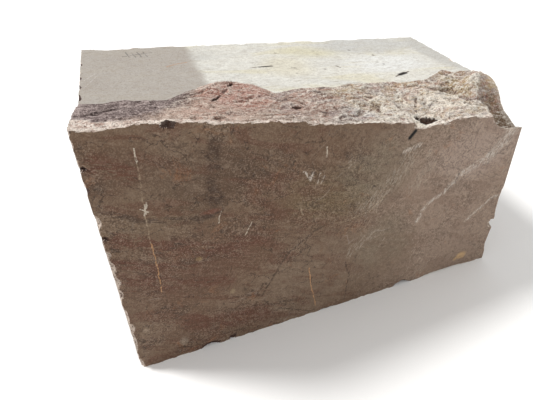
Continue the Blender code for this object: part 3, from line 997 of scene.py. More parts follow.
class Nodes:
    """Adds nodes to one tree and joins them up."""

    def __init__(self, tree: Tree) -> None:
        """Takes the tree to add to."""
        self.tree = tree

    def add(self, kind: str, inputs: dict[str | int, Value], **settings: object) -> bpy.types.Node:
        """Adds a node.

        Args:
            kind: The node's type name, without its ShaderNode at the front.
            inputs: What goes into each input: a socket to join, or a value to set.
            settings: The node's own settings.

        Returns:
            The node.
        """
        node = self.tree.nodes.new("ShaderNode" + kind)
        for name, setting in settings.items():
            setattr(node, name, setting)
        for key, value in inputs.items():
            if isinstance(value, Socket):
                self.tree.links.new(value, node.inputs[key])
            else:
                node.inputs[key].default_value = value
        return node

    def group(self, tree: Tree, inputs: dict[str | int, Value]) -> bpy.types.Node:
        """Adds a copy of a node group with its own values."""
        return self.add("Group", inputs, node_tree=tree)

    def math(self, operation: str, first: Value, second: Value = 0.0) -> Socket:
        """One Math node: an operation, such as MULTIPLY, on one or two numbers."""
        return self.add("Math", {0: first, 1: second}, operation=operation).outputs[0]

    def vector(self, operation: str, first: Value, second: Value = ORIGIN) -> Socket:
        """One Vector Math node that gives a vector, by an operation such as ADD."""
        return self.add("VectorMath", {0: first, 1: second}, operation=operation).outputs["Vector"]

    def times(self, product: Value, *others: Value) -> Socket:
        """The product of two or more numbers, by one Math node after another."""
        for other in others:
            product = self.math("MULTIPLY", product, other)
        return product

    def part(self, vector: Value, axis: str) -> Socket:
        """One coordinate of a vector: X, Y or Z."""
        return self.add("SeparateXYZ", {"Vector": vector}).outputs[axis]

    def dot(self, first: Value, second: Value) -> Socket:
        """The dot product of two vectors."""
        return self.add("VectorMath", {0: first, 1: second}, operation="DOT_PRODUCT").outputs["Value"]

    def scaled(self, vector: Value, factor: Value) -> Socket:
        """A vector times a number."""
        inputs = {0: vector, "Scale": factor}
        return self.add("VectorMath", inputs, operation="SCALE").outputs["Vector"]

    def cells(self, place: Value, scale: Value, feature: str) -> Socket:
        """Distances among scattered centres: F1 to the nearest, DISTANCE_TO_EDGE to a border."""
        inputs = {"Vector": place, "Scale": scale}
        return self.add("TexVoronoi", inputs, feature=feature).outputs["Distance"]

    def length(self, vector: Value) -> Socket:
        """The length of a vector."""
        return self.add("VectorMath", {0: vector}, operation="LENGTH").outputs["Value"]

    def fade(self, value: Value, start: float, end: float, low: Value = 0.0, high: Value = 1.0) -> Socket:
        """A smooth step from low to high as a value goes from start to end, up or down."""
        inputs = {"Value": value, "From Min": start, "From Max": end, "To Min": low, "To Max": high}
        return self.add("MapRange", inputs, interpolation_type="SMOOTHSTEP", clamp=False).outputs["Result"]

    def mix(self, share: Value, first: Value, second: Value) -> Socket:
        """Mixes two colours, with a share of the second, 0 to 1."""
        inputs = {0: share, 6: first, 7: second}
        return self.add("Mix", inputs, data_type="RGBA", clamp_result=True).outputs[2]

    def noise(
        self, place: Value, size: Value, detail: float = 3.0, roughness: float = 0.55, bend: float = 0.0
    ) -> Socket:
        """Noise about 0.5 whose largest features have a size in metres.

        Args:
            place: Where to read it.
            size: The size of its features, in metres.
            detail: How many finer layers it has.
            roughness: How strong they are.
            bend: How much it is distorted.

        Returns:
            About 0.2 to 0.8.
        """
        scale = 1.0 / size if isinstance(size, float) else self.math("DIVIDE", 1.0, size)
        inputs = {
            "Vector": place, "Scale": scale, "Detail": detail, "Roughness": roughness, "Distortion": bend
        }
        return self.add("TexNoise", inputs).outputs[0]

    def drawn_out(self, place: Value, rise: float, lengths: Triple) -> Socket:
        """Draws a pattern out by lengths along a line that climbs by rise degrees, back and up."""
        inputs = {"Vector": place, "Rotation": (0.0, -math.radians(rise), 0.0), "Scale": lengths}
        return self.add("Mapping", inputs, vector_type="TEXTURE").outputs["Vector"]

    def attribute(self, name: str) -> Socket:
        """A number that the mesh holds at each point."""
        return self.add("Attribute", {}, attribute_name=name).outputs["Fac"]


class Group:
    """A node group being made, with named inputs and outputs."""

    def __init__(self, name: str, inputs: dict[str, Value], outputs: dict[str, str]) -> None:
        """Makes the empty group.

        Args:
            name: Its name.
            inputs: The first value of each input, a vector or a number.
            outputs: The kind of each output: Float, Vector or Color.
        """
        self.tree = bpy.data.node_groups.new(name, "ShaderNodeTree")
        for socket, value in inputs.items():
            kind = "Vector" if isinstance(value, tuple) else "Float"
            made = self.tree.interface.new_socket(socket, in_out="INPUT", socket_type="NodeSocket" + kind)
            made.default_value = value
        for socket, kind in outputs.items():
            self.tree.interface.new_socket(socket, in_out="OUTPUT", socket_type="NodeSocket" + kind)
        self.nodes = Nodes(self.tree)
        self.inputs = self.tree.nodes.new("NodeGroupInput").outputs[:len(inputs)]
        self.outputs = self.tree.nodes.new("NodeGroupOutput").inputs

    def give(self, **values: Socket) -> Tree:
        """Joins the group's outputs.

        Args:
            values: What each output gives, by its name.

        Returns:
            The group's tree.
        """
        for name, value in values.items():
            self.tree.links.new(value, self.outputs[name])
        return self.tree


@dataclass(frozen=True)
class Patch:
    """A soft-edged patch of another colour in the stone, as an ellipsoid."""

    centre: Triple
    radii: Triple
    color: Screen
    strength: float
    edge: float = 0.5


Path = tuple[Pair, ...]


@dataclass(frozen=True)
class Strokes:
    """Lines of one colour on a flat face, such as veins, scratches or crayon marks: each one's
    half width and the points that it runs through, in millimetres. Noise breaks them up, and
    takes away more of them the higher broken_up is."""

    color: Screen
    strength: float
    broken_up: float
    lines: tuple[tuple[float, Path], ...]


# The body's two browns are darker than the stone's own colour: partly painted shade, the tone of a face
# that stands in shade, on every face that shows the body.
WARM_BROWN = srgb(107, 83, 64)
GREY_BROWN = srgb(119, 98, 79)
DARK_CLOT = srgb(66, 47, 36)
PALE_CLOT = srgb(146, 126, 107)
VEIN_WHITE = srgb(202, 192, 180)
SEAM_DARK = srgb(48, 33, 26)
RED_CLAY = srgb(94, 60, 44)
CRUSHED_PALE = srgb(222, 204, 188)
# Painted shade in the hollows of some chips.
CHIP_SHADE = srgb(62, 38, 29)
# How steeply the bedding climbs to the right on the front face, in degrees:
BEDDING_RISE = -22.0

# Zones of colour in the stone. Those with a wide middle radius go through from front to back.
BODY_PATCHES = (
    # Lighter towards the right end of the block, through its whole depth.
    Patch((1.66, 0.0, 0.6), (0.5, 0.9, 0.8), (152, 131, 115), 0.9, 0.6),
    Patch((0.98, 0.0, 0.27), (0.36, 0.5, 0.19), (122, 102, 84), 0.8, 0.3),
    Patch((0.2, 0.0, 0.72), (0.17, 0.4, 0.13), (116, 97, 77), 0.6),
    Patch((0.28, 0.0, 0.48), (0.34, 0.5, 0.17), (100, 72, 56), 0.55),
    Patch((0.3, 0.0, 0.17), (0.24, 0.4, 0.08), (98, 72, 56), 0.5),
    Patch((0.14, 0.0, 0.95), (0.16, 0.4, 0.07), (92, 68, 52), 0.55),
    Patch((0.42, 0.0, 0.88), (0.2, 0.3, 0.11), (82, 62, 47), 0.65),
    Patch((0.9, 0.0, 0.66), (0.19, 0.4, 0.12), (112, 94, 66), 0.7),
    Patch((1.1, 0.0, 0.74), (0.17, 0.4, 0.15), (128, 116, 97), 0.65),
    Patch((1.17, 0.0, 0.34), (0.14, 0.4, 0.13), (129, 116, 98), 0.55),
    Patch((1.64, 0.0, 0.72), (0.24, 0.4, 0.14), (170, 150, 137), 0.65),
    Patch((0.7, 1.0, 0.6), (0.4, 0.4, 0.24), (104, 77, 61), 0.55),
    Patch((1.4, 1.0, 0.35), (0.3, 0.4, 0.22), (144, 126, 110), 0.6),
)

# Where the stone is even, without streaks, as (centre, radii):
CALM_PLACES = (
    ((0.22, 0.0, 0.87), (0.15, 0.3, 0.09)),
    ((0.98, 0.0, 0.27), (0.36, 0.3, 0.19)),
)


class StoneGroups:
    """The shader node groups that the block's finishes share, each built once."""

    def __init__(self) -> None:
        """Builds the groups. The stone's body uses the soft patches and the seams."""
        self.soft_patch = self.make_soft_patch()
        self.stroke = self.make_stroke()
        self.seams = self.make_seams()
        self.grain = self.make_grain()
        self.wander = self.make_wander()
        self.cracks = self.make_cracks()
        self.scales = self.make_scales()
        self.body = self.make_body()

    def make_soft_patch(self) -> Tree:
        """A soft ellipsoid: 1 where the distance from the centre, in radii, is under 1 - edge,
        and 0 where it is over 1 + edge.

        Returns:
            The group's tree.
        """
        inputs = {"Place": ORIGIN, "Centre": ORIGIN, "Radii": (1.0, 1.0, 1.0), "Edge": 0.5}
        group = Group("soft_patch", inputs, {"Mask": "Float"})
        nodes, (place, centre, radii, edge) = group.nodes, group.inputs
        away = nodes.length(nodes.vector("DIVIDE", nodes.vector("SUBTRACT", place, centre), radii))
        outer, inner = nodes.math("ADD", 1.0, edge), nodes.math("SUBTRACT", 1.0, edge)
        return group.give(Mask=nodes.fade(away, outer, inner))

    def make_stroke(self) -> Tree:
        """A straight stroke: the distance to the line between two points, with the nearest
        point's share of the way kept from 0 to 1, faded over the half width.

        Returns:
            The group's tree.
        """
        inputs = {"Place": ORIGIN, "From": ORIGIN, "To": (1.0, 0.0, 0.0), "Half Width": 0.003}
        group = Group("stroke", inputs, {"Mask": "Float"})
        nodes, (place, start, end, half_width) = group.nodes, group.inputs
        from_start, run = nodes.vector("SUBTRACT", place, start), nodes.vector("SUBTRACT", end, start)
        share = nodes.math("DIVIDE", nodes.dot(from_start, run), nodes.dot(run, run))
        share = nodes.math("MAXIMUM", nodes.math("MINIMUM", share, 1.0), 0.0)
        away = nodes.length(nodes.vector("SUBTRACT", from_start, nodes.scaled(run, share)))
        outer, inner = nodes.times(half_width, 1.5), nodes.times(half_width, 0.4)
        return group.give(Mask=nodes.fade(away, outer, inner))

    def make_seams(self) -> Tree:
        """Thin wandering sheets through the stone, which show as lines on any face: where noise
        is near its middle value, broken up by finer noise.

        Returns:
            The group's tree.
        """
        inputs = {"Place": ORIGIN, "Spacing": 0.4, "Half Width": 0.004, "Gaps": 0.5}
        group = Group("seams", inputs, {"Mask": "Float"})
        nodes, (place, spacing, half_width, gaps) = group.nodes, group.inputs
        sheets = nodes.noise(place, spacing, 4.0, 0.55, 0.5)
        away = nodes.math("ABSOLUTE", nodes.math("SUBTRACT", sheets, 0.5))
        lines = nodes.fade(away, half_width, nodes.times(half_width, 0.3))
        noise = nodes.noise(place, nodes.times(spacing, 0.3), 3.0, 0.6)
        kept = nodes.fade(noise, gaps, nodes.math("ADD", gaps, 0.12))
        return group.give(Mask=nodes.times(lines, kept))

    def make_grain(self) -> Tree:
        """The stone's grain in two sizes: crystals, and a mottle of coarser clots.

        Returns:
            The group's tree.
        """
        inputs = {"Place": ORIGIN, "Crystal Size": 0.006, "Clot Size": 0.03}
        group = Group("grain", inputs, {"Crystals": "Float", "Clots": "Float"})
        nodes, (place, crystal_size, clot_size) = group.nodes, group.inputs
        crystals = nodes.noise(place, crystal_size, 3.0, 0.7)
        clots = nodes.noise(place, clot_size, 5.0, 0.62, 0.8)
        return group.give(Crystals=nodes.fade(crystals, 0.32, 0.68), Clots=nodes.fade(clots, 0.36, 0.64))

    def make_wander(self) -> Tree:
        """Moves places about, so that what is drawn on them wanders: adds noise about 0 along
        each axis, times an amount.

        Returns:
            The group's tree.
        """
        group = Group("wander", {"Place": ORIGIN, "Size": 0.2, "Amount": 0.05}, {"Moved": "Vector"})
        nodes, (place, size, amount) = group.nodes, group.inputs
        scale = nodes.math("DIVIDE", 1.0, size)
        inputs = {"Vector": place, "Scale": scale, "Detail": 3.0, "Roughness": 0.55}
        cloud = nodes.add("TexNoise", inputs).outputs["Color"]
        pushed = nodes.scaled(nodes.vector("SUBTRACT", cloud, (0.5, 0.5, 0.5)), amount)
        return group.give(Moved=nodes.vector("ADD", place, pushed))

    def make_cracks(self) -> Tree:
        """A net of hairline cracks: the borders between scattered cells, on wandering places,
        broken up by noise.

        Returns:
            The group's tree.
        """
        inputs = {"Place": ORIGIN, "Spacing": 0.12, "Half Width": 0.0015, "Gaps": 0.5}
        group = Group("cracks", inputs, {"Mask": "Float"})
        nodes, (place, spacing, half_width, gaps) = group.nodes, group.inputs
        size, amount = nodes.times(spacing, 0.5), nodes.times(spacing, 0.9)
        moved = self.wandered(nodes, place, size, amount)
        cells = nodes.cells(moved, nodes.math("DIVIDE", 1.0, spacing), "DISTANCE_TO_EDGE")
        lines = nodes.fade(nodes.times(cells, spacing), half_width, nodes.times(half_width, 0.2))
        noise = nodes.noise(place, nodes.times(spacing, 0.6), 4.0, 0.6)
        kept = nodes.fade(noise, gaps, nodes.math("ADD", gaps, 0.08))
        return group.give(Mask=nodes.times(lines, kept))

    def make_scales(self) -> Tree:
        """Shell-shaped scales: the distance to the nearest of scattered centres, low in each
        hollow and high on the sharp ridges where hollows meet, in two sizes.

        Returns:
            The group's tree.
        """
        group = Group("scales", {"Place": ORIGIN, "Size": 0.02}, {"Height": "Float", "Ridge": "Float"})
        nodes, (place, size) = group.nodes, group.inputs
        moved = self.wandered(nodes, place, size, nodes.times(size, 0.9))
        scale = nodes.math("DIVIDE", 1.0, size)
        large, small = nodes.cells(moved, scale, "F1"), nodes.cells(moved, nodes.times(scale, 2.3), "F1")
        height = nodes.math("ADD", nodes.times(large, 0.62), nodes.times(small, 0.38))
        return group.give(Height=height, Ridge=nodes.fade(height, 0.52, 0.8))

    def wandered(self, nodes: Nodes, place: Socket, size: Value, amount: Value) -> Socket:
        """A place that wanders by an amount either way, over lengths of a size, in metres."""
        inputs = {"Place": place, "Size": size, "Amount": amount}
        return nodes.group(self.wander, inputs).outputs["Moved"]

    def front_depth(self, nodes: Nodes, place: Socket) -> Socket:
        """How far a place is behind the front face, in metres."""
        return nodes.dot(place, (-SawCuts.front_skew, 1.0, -SawCuts.front_lean))

    def place(self, nodes: Nodes) -> Socket:
        """The place on the block in setting-out coordinates, whose origin is the base's corner."""
        coordinates = nodes.add("TexCoord", {}).outputs["Object"]
        centre = tuple(SawCuts().base_centre().tolist())
        return nodes.add("Mapping", {"Vector": coordinates, "Location": centre}).outputs["Vector"]

    def patches(self, nodes: Nodes, place: Socket, color: Value, patches: tuple[Patch, ...]) -> Socket:
        """Lays patches over a colour, one after another.

        Args:
            nodes: The nodes to add to.
            place: The place, made to wander.
            color: The colour under them.
            patches: The patches.

        Returns:
            The colour with the patches on it.
        """
        for patch in patches:
            inputs = {"Place": place, "Centre": patch.centre, "Radii": patch.radii, "Edge": patch.edge}
            mask = nodes.group(self.soft_patch, inputs).outputs["Mask"]
            color = nodes.mix(nodes.times(mask, patch.strength), color, srgb(*patch.color))
        return color

    def strokes(
        self, nodes: Nodes, place: Socket, color: Value, strokes: Strokes,
        on_face: Callable[[float, float], Triple], flecks: Socket,
    ) -> Socket:
        """Draws strokes over a colour.

        Args:
            nodes: The nodes to add to.
            place: The place, made to wander.
            color: The colour under them.
            strokes: The strokes.
            on_face: Gives the place of a point of theirs.
            flecks: Noise about 0.5 that breaks them up.

        Returns:
            The colour with the strokes on it.
        """
        mask: Value = 0.0
        for half_width, path in metres(strokes.lines):
            for start, end in itertools.pairwise(on_face(*point) for point in path):
                inputs = {"Place": place, "From": start, "To": end, "Half Width": half_width}
                mask = nodes.math("MAXIMUM", mask, nodes.group(self.stroke, inputs).outputs["Mask"])
        kept = nodes.fade(flecks, strokes.broken_up - 0.05, strokes.broken_up + 0.05, 0.0, strokes.strength)
        return nodes.mix(nodes.times(mask, kept), color, srgb(*strokes.color))

    def lines(
        self, nodes: Nodes, tree: Tree, place: Socket, spacing: float, half_width: float,
        gaps: float,
    ) -> Socket:
        """Lines by a copy of the seams or the cracks. At gaps of 0.4 few are missing, at 0.6 most."""
        inputs = {"Place": place, "Spacing": spacing, "Half Width": half_width, "Gaps": gaps}
        return nodes.group(tree, inputs).outputs["Mask"]

    def make_body(self) -> Tree:
        """The marble itself, which every finish starts from: two browns by broad noise, zones of
        other colours, dark streaks along the bedding where the stone is busy, pale veins, dark
        seams and a net of hairline cracks.

        Returns:
            The group's tree.
        """
        outputs = {"Color": "Color", "Busy": "Float", "Dark": "Float"}
        group = Group("marble_body", {"Place": ORIGIN}, outputs)
        nodes, (place,) = group.nodes, group.inputs
        broad = nodes.noise(place, 0.42, 4.0, 0.5, 0.7)
        color = nodes.mix(nodes.fade(broad, 0.36, 0.64), WARM_BROWN, GREY_BROWN)
        moved = self.wandered(nodes, place, 0.13, 0.17)
        color = self.patches(nodes, moved, color, BODY_PATCHES)

        bedding = nodes.drawn_out(place, BEDDING_RISE, (2.8, 1.4, 0.74))
        busy = nodes.fade(nodes.noise(place, 0.22, 3.0, 0.5), 0.38, 0.6)
        for centre, radii in CALM_PLACES:
            inputs = {"Place": moved, "Centre": centre, "Radii": radii}
            calm = nodes.group(self.soft_patch, inputs).outputs["Mask"]
            busy = nodes.times(busy, nodes.fade(calm, 0.0, 1.0, 1.0, 0.15))
        strong = nodes.fade(busy, 0.0, 1.0, 0.2, 1.0)
        left = nodes.fade(nodes.part(place, "X"), 1.15, 0.6, 0.35, 1.0)
        streaks = nodes.noise(bedding, 0.055, 7.0, 0.72, 1.0)
        share = nodes.times(nodes.fade(streaks, 0.49, 0.63), strong, left)
        color = nodes.mix(nodes.times(share, 0.75), color, DARK_CLOT)
        reds = nodes.noise(nodes.vector("ADD", bedding, (3.1, 0.0, 0.0)), 0.085, 6.0, 0.62, 0.7)
        reddened = nodes.times(nodes.fade(reds, 0.5, 0.6, 0.0, 0.62), left)
        color = nodes.mix(reddened, color, RED_CLAY)
        color = nodes.mix(nodes.fade(streaks, 0.47, 0.32, 0.0, 0.34), color, PALE_CLOT)

        tilted = nodes.drawn_out(place, 34.0, (1.8, 1.1, 0.55))
        pale = self.lines(nodes, self.seams, tilted, 0.6, 0.006, 0.54)
        dark = self.lines(nodes, self.seams, bedding, 0.22, 0.006, 0.5)
        net = self.lines(nodes, self.cracks, place, 0.1, 0.0026, 0.47)
        fine = self.lines(nodes, self.cracks, place, 0.04, 0.0019, 0.48)
        faint = nodes.times(fine, strong, 0.6)
        seams = nodes.math("MAXIMUM", nodes.times(dark, 0.65), net)
        seams = nodes.math("MAXIMUM", seams, faint)
        color = nodes.mix(nodes.times(pale, 0.2), color, VEIN_WHITE)
        fewer = nodes.fade(left, 0.35, 1.0, 0.42, 0.74)
        color = nodes.mix(nodes.times(seams, fewer), color, SEAM_DARK)
        return group.give(Color=color, Busy=busy, Dark=seams)


class StoneMaterial:
    """A material being made: its nodes, and the place on the block that its patterns read."""

    def __init__(self, name: str, groups: StoneGroups, crystal_size: float, clot_size: float) -> None:
        """Makes the material with its own Principled BSDF.

        Args:
            name: Its name.
            groups: The node groups that it shares.
            crystal_size: The size of its fine grain, in metres.
            clot_size: The size of its coarse grain, in metres.
        """
        self.material = bpy.data.materials.new(name)
        self.material.use_nodes = True
        self.nodes = Nodes(self.material.node_tree)
        self.place = groups.place(self.nodes)
        body = self.nodes.group(groups.body, {"Place": self.place}).outputs
        self.color, self.busy, self.dark = body["Color"], body["Busy"], body["Dark"]
        sizes = {"Place": self.place, "Crystal Size": crystal_size, "Clot Size": clot_size}
        grain = self.nodes.group(groups.grain, sizes).outputs
        self.crystals, self.clots = grain["Crystals"], grain["Clots"]

    def tint(self, share: Value, color: Value) -> None:
        """Mixes a share of another colour over what is there."""
        self.color = self.nodes.mix(share, self.color, color)

    def knocked(self, grain: Socket, pale: float) -> None:
        """Colours the chips: fresh ones crushed pale by grain, and the hollows marked -1 painted dark as
        shade.

        Args:
            grain: Which grains are crushed, 0 to 1.
            pale: How pale the crushed ones are, 0 to 1.
        """
        crushed_or_shaded = self.nodes.attribute("crushed_or_shaded")
        bruise = self.nodes.fade(crushed_or_shaded, 0.55, 1.0, 0.0, pale)
        self.tint(self.nodes.times(bruise, self.nodes.fade(grain, 0.2, 0.65)), CRUSHED_PALE)
        # Painted shade: the hollows marked -1 are darkened to a deep brown.
        self.tint(self.nodes.fade(crushed_or_shaded, -0.15, -0.7, 0.0, 0.92), CHIP_SHADE)

    def finish(self, roughness: Socket, height: Socket, bump: float, specular: float) -> bpy.types.Material:
        """Joins the colour, roughness and bump to the shader.

        Args:
            roughness: The roughness.
            height: The bump's height, 0 to 1.
            bump: What a height of 1 is, in metres.
            specular: The specular level, the same all over.

        Returns:
            The material.
        """
        shader = self.material.node_tree.nodes["Principled BSDF"]
        bumped = self.nodes.add("Bump", {"Height": height, "Distance": bump})
        links = self.material.node_tree.links
        links.new(self.color, shader.inputs["Base Color"])
        links.new(roughness, shader.inputs["Roughness"])
        links.new(bumped.outputs["Normal"], shader.inputs["Normal"])
        shader.inputs["Specular IOR Level"].default_value = specular
        return self.material


def on_front(x: float, z: float) -> Triple:
    """The point of the front face at x and z, as the saw left it."""
    return (x, float(SawCuts().front(x, z)), z)


def on_top(x: float, y: float) -> Triple:
    """The point of the sawn top at x and y."""
    return (x, y, float(SawCuts().top(x, y)))


def on_plan(x: float, y: float) -> Triple:
    """The point of the plan at x and y."""
    return (x, y, 0.0)


@dataclass(frozen=True)
class SawnFinish:
    """A wire-sawn face of bare marble: speckled, mottled and veined, with scratches, stains and
    a dash of crayon. Its strokes and spots are set out as (x, z) on the front face."""

    crystal_size: float = 0.0052
    clot_size: float = 0.017
    crystal_pale: Color = srgb(186, 168, 150)
    crystal_dark: Color = srgb(58, 43, 34)
    rust: Color = srgb(150, 98, 62)
    bump: float = 0.001
    specular: float = 0.3
    roughness: Pair = (0.62, 0.88)
    # Broad bands, broken into streaks along the bedding:
    bands: tuple[Strokes, ...] = (
        Strokes((94, 57, 42), 0.85, 0.48, (
            (30, ((60, 705), (225, 632), (368, 560), (500, 515))), (30, ((480, 560), (600, 545))),
            (18, ((20, 610), (138, 549), (300, 512))), (28, ((30, 530), (200, 440), (430, 370))),
            (50, ((260, 190), (400, 130), (560, 120))), (40, ((60, 1010), (140, 960))),
        )),
        Strokes((60, 42, 32), 0.78, 0.49, (
            (12, ((60, 822), (144, 766), (350, 715), (420, 716))),
            (24, ((437, 1009), (419, 905), (407, 826), (431, 777))),
            (12, ((190, 285), (196, 242), (234, 272), (290, 282))),
        )),
    )
    # White veins, made of short strokes:
    veins: tuple[Strokes, ...] = (
        Strokes((208, 198, 186), 0.75, 0.51, (
            (34, ((1790, 800), (1739, 723))), (26, ((1739, 723), (1675, 661))),
            (19, ((1675, 661), (1615, 644), (1534, 605))), (14, ((1534, 605), (1469, 536))),
            (10, ((1469, 536), (1378, 489), (1348, 405))), (8, ((1818, 425), (1777, 419), (1649, 315))),
            (12, ((1283, 816), (1215, 800))), (5, ((765, 816), (788, 778))),
            (5, ((806, 812), (792, 772))), (4, ((834, 790), (822, 752))), (4, ((851, 776), (838, 745))),
        )),
        Strokes((170, 158, 142), 0.6, 0.535, (
            (44, ((1245, 755), (1142, 633), (1060, 560))), (30, ((1283, 600), (1360, 700))),
            (10, ((1340, 781), (1338, 741))), (8, ((961, 843), (961, 789))),
            (30, ((1000, 330), (1100, 400))),
        )),
    )
    marks: tuple[Strokes, ...] = (
        Strokes((160, 140, 116), 0.72, 0.44, (
            (2.2, ((180, 992), (176, 926), (168, 830))), (2.2, ((166, 790), (162, 658))),
            (3.4, ((1147, 601), (1071, 538), (941, 517))), (3.6, ((748, 661), (762, 612))),
        )),
        Strokes((188, 142, 98), 0.82, 0.39, (
            (2.4, ((162, 658), (165, 554), (159, 412))), (2.6, ((795, 308), (808, 196), (836, 50))),
        )),
        Strokes((58, 41, 31), 0.74, 0.44, (
            (4.4, ((860, 526), (814, 513), (690, 424), (628, 322), (568, 222))),
            (3.4, ((765, 935), (850, 925))), (3.4, ((829, 946), (840, 926))),
            (3.8, ((571, 169), (687, 119))), (4, ((647, 109), (818, 14))),
            (3.4, ((978, 279), (1007, 185), (990, 23))),
        )),
        Strokes((68, 47, 36), 0.62, 0.47, (
            (3.4, ((209, 997), (248, 965), (275, 932), (338, 901))),
            (3, ((385, 998), (349, 980), (314, 969), (265, 969))), (3.6, ((135, 913), (186, 877))),
        )),
        Strokes((208, 196, 178), 0.82, 0.42, (
            (2.6, ((180, 1040), (180, 992))), (2.8, ((180, 834), (164, 786))),
            (2.8, ((172, 826), (170, 792))), (2.4, ((156, 816), (178, 797))),
            (2, ((430, 728), (414, 677))), (2.2, ((546, 642), (514, 587))),
            (3.4, ((857, 899), (857, 856))),
        )),
    )
    dash: Strokes = Strokes((8, 8, 8), 1.0, 0.0, ((8.8, ((1248, 886), (1226, 860))),))
    # Spots as (x, z, half length, half height, red, green, blue, strength), in millimetres:
    spots: tuple[tuple[float, ...], ...] = (
        (1084, 668, 6, 6, 52, 42, 36, 0.85), (1531, 617, 6, 6, 52, 42, 36, 0.85),
        (945, 841, 6, 6, 64, 50, 42, 0.7), (801, 800, 7, 7, 64, 50, 42, 0.7),
        (389, 735, 44, 16, 70, 48, 38, 0.6), (393, 735, 34, 10, 108, 68, 52, 0.8),
        (1688, 75, 30, 22, 200, 164, 116, 0.75), (1652, 60, 10, 10, 196, 162, 116, 0.65),
        (322, 530, 12, 10, 158, 132, 88, 0.55), (441, 304, 10, 12, 162, 142, 112, 0.55),
        (200, 90, 18, 22, 158, 144, 126, 0.5), (61, 225, 14, 14, 172, 152, 130, 0.5),
    )

    def material(self, groups: StoneGroups) -> bpy.types.Material:
        """Builds the material.

        Args:
            groups: The shared node groups.

        Returns:
            The material.
        """
        stone = StoneMaterial("sawn_marble", groups, self.crystal_size, self.clot_size)
        nodes, place, crystals, clots = stone.nodes, stone.place, stone.crystals, stone.clots
        hatched = nodes.drawn_out(place, 62.0, (3.4, 1.0, 0.7))
        hatch = nodes.noise(hatched, 0.0075, 3.0, 0.62, 0.8)
        across = nodes.part(place, "X")
        hatched_side = nodes.fade(across, 0.7, 1.25, 0.05, 0.62)
        in_fields = nodes.fade(nodes.noise(place, 0.16, 3.0, 0.6), 0.46, 0.6, 0.1, 1.0)
        hatching = nodes.times(nodes.fade(hatch, 0.56, 0.66), in_fields)
        stone.tint(nodes.times(hatching, hatched_side), self.crystal_pale)
        rusty = nodes.fade(nodes.noise(place, 0.11, 6.0, 0.72, 1.0), 0.58, 0.7, 0.0, 0.4)
        stone.tint(rusty, self.rust)

        moved = groups.wandered(nodes, place, 0.024, 0.014)
        spots = tuple(
            Patch(on_front(*metres((x, z))), metres((long, 30, high)), tuple(color), strength)
            for x, z, long, high, *color, strength in self.spots
        )
        stone.color = groups.patches(nodes, moved, stone.color, spots)
        flecks = nodes.noise(place, 0.008, 3.0, 0.7)
        streaky = nodes.noise(nodes.drawn_out(place, BEDDING_RISE, (3.2, 1.0, 0.9)), 0.02, 6.0, 0.72, 0.8)
        for drawn, breaks in ((self.bands, streaky), (self.veins, hatch), (self.marks, flecks)):
            for strokes in drawn:
                stone.color = groups.strokes(nodes, moved, stone.color, strokes, on_front, breaks)

        speckled = nodes.fade(stone.busy, 0.0, 1.0, 0.55, 1.0)
        for noise, start, end, share, color in (
            (clots, 0.6, 1.0, 0.12, self.crystal_pale), (clots, 0.45, 0.0, 0.32, self.crystal_dark),
            (crystals, 0.6, 1.0, 0.34, self.crystal_pale), (crystals, 0.42, 0.0, 0.58, self.crystal_dark),
        ):
            stone.tint(nodes.times(nodes.fade(noise, start, end, 0.0, share), speckled), color)
        stone.color = groups.strokes(nodes, place, stone.color, self.dash, on_front, flecks)
        stone.knocked(crystals, 0.6)

        low, high = self.roughness
        rough = nodes.fade(crystals, 0.0, 1.0, low, high)
        sawing = nodes.vector("MULTIPLY", place, (0.08, 1.0, 1.0))
        lines = nodes.noise(sawing, 0.01, 2.0, 0.5)
        height = nodes.math("ADD", nodes.times(crystals, 0.55), nodes.times(lines, 0.45))
        height = nodes.math("SUBTRACT", height, nodes.times(stone.dark, 0.7))
        return stone.finish(rough, height, self.bump, self.specular)


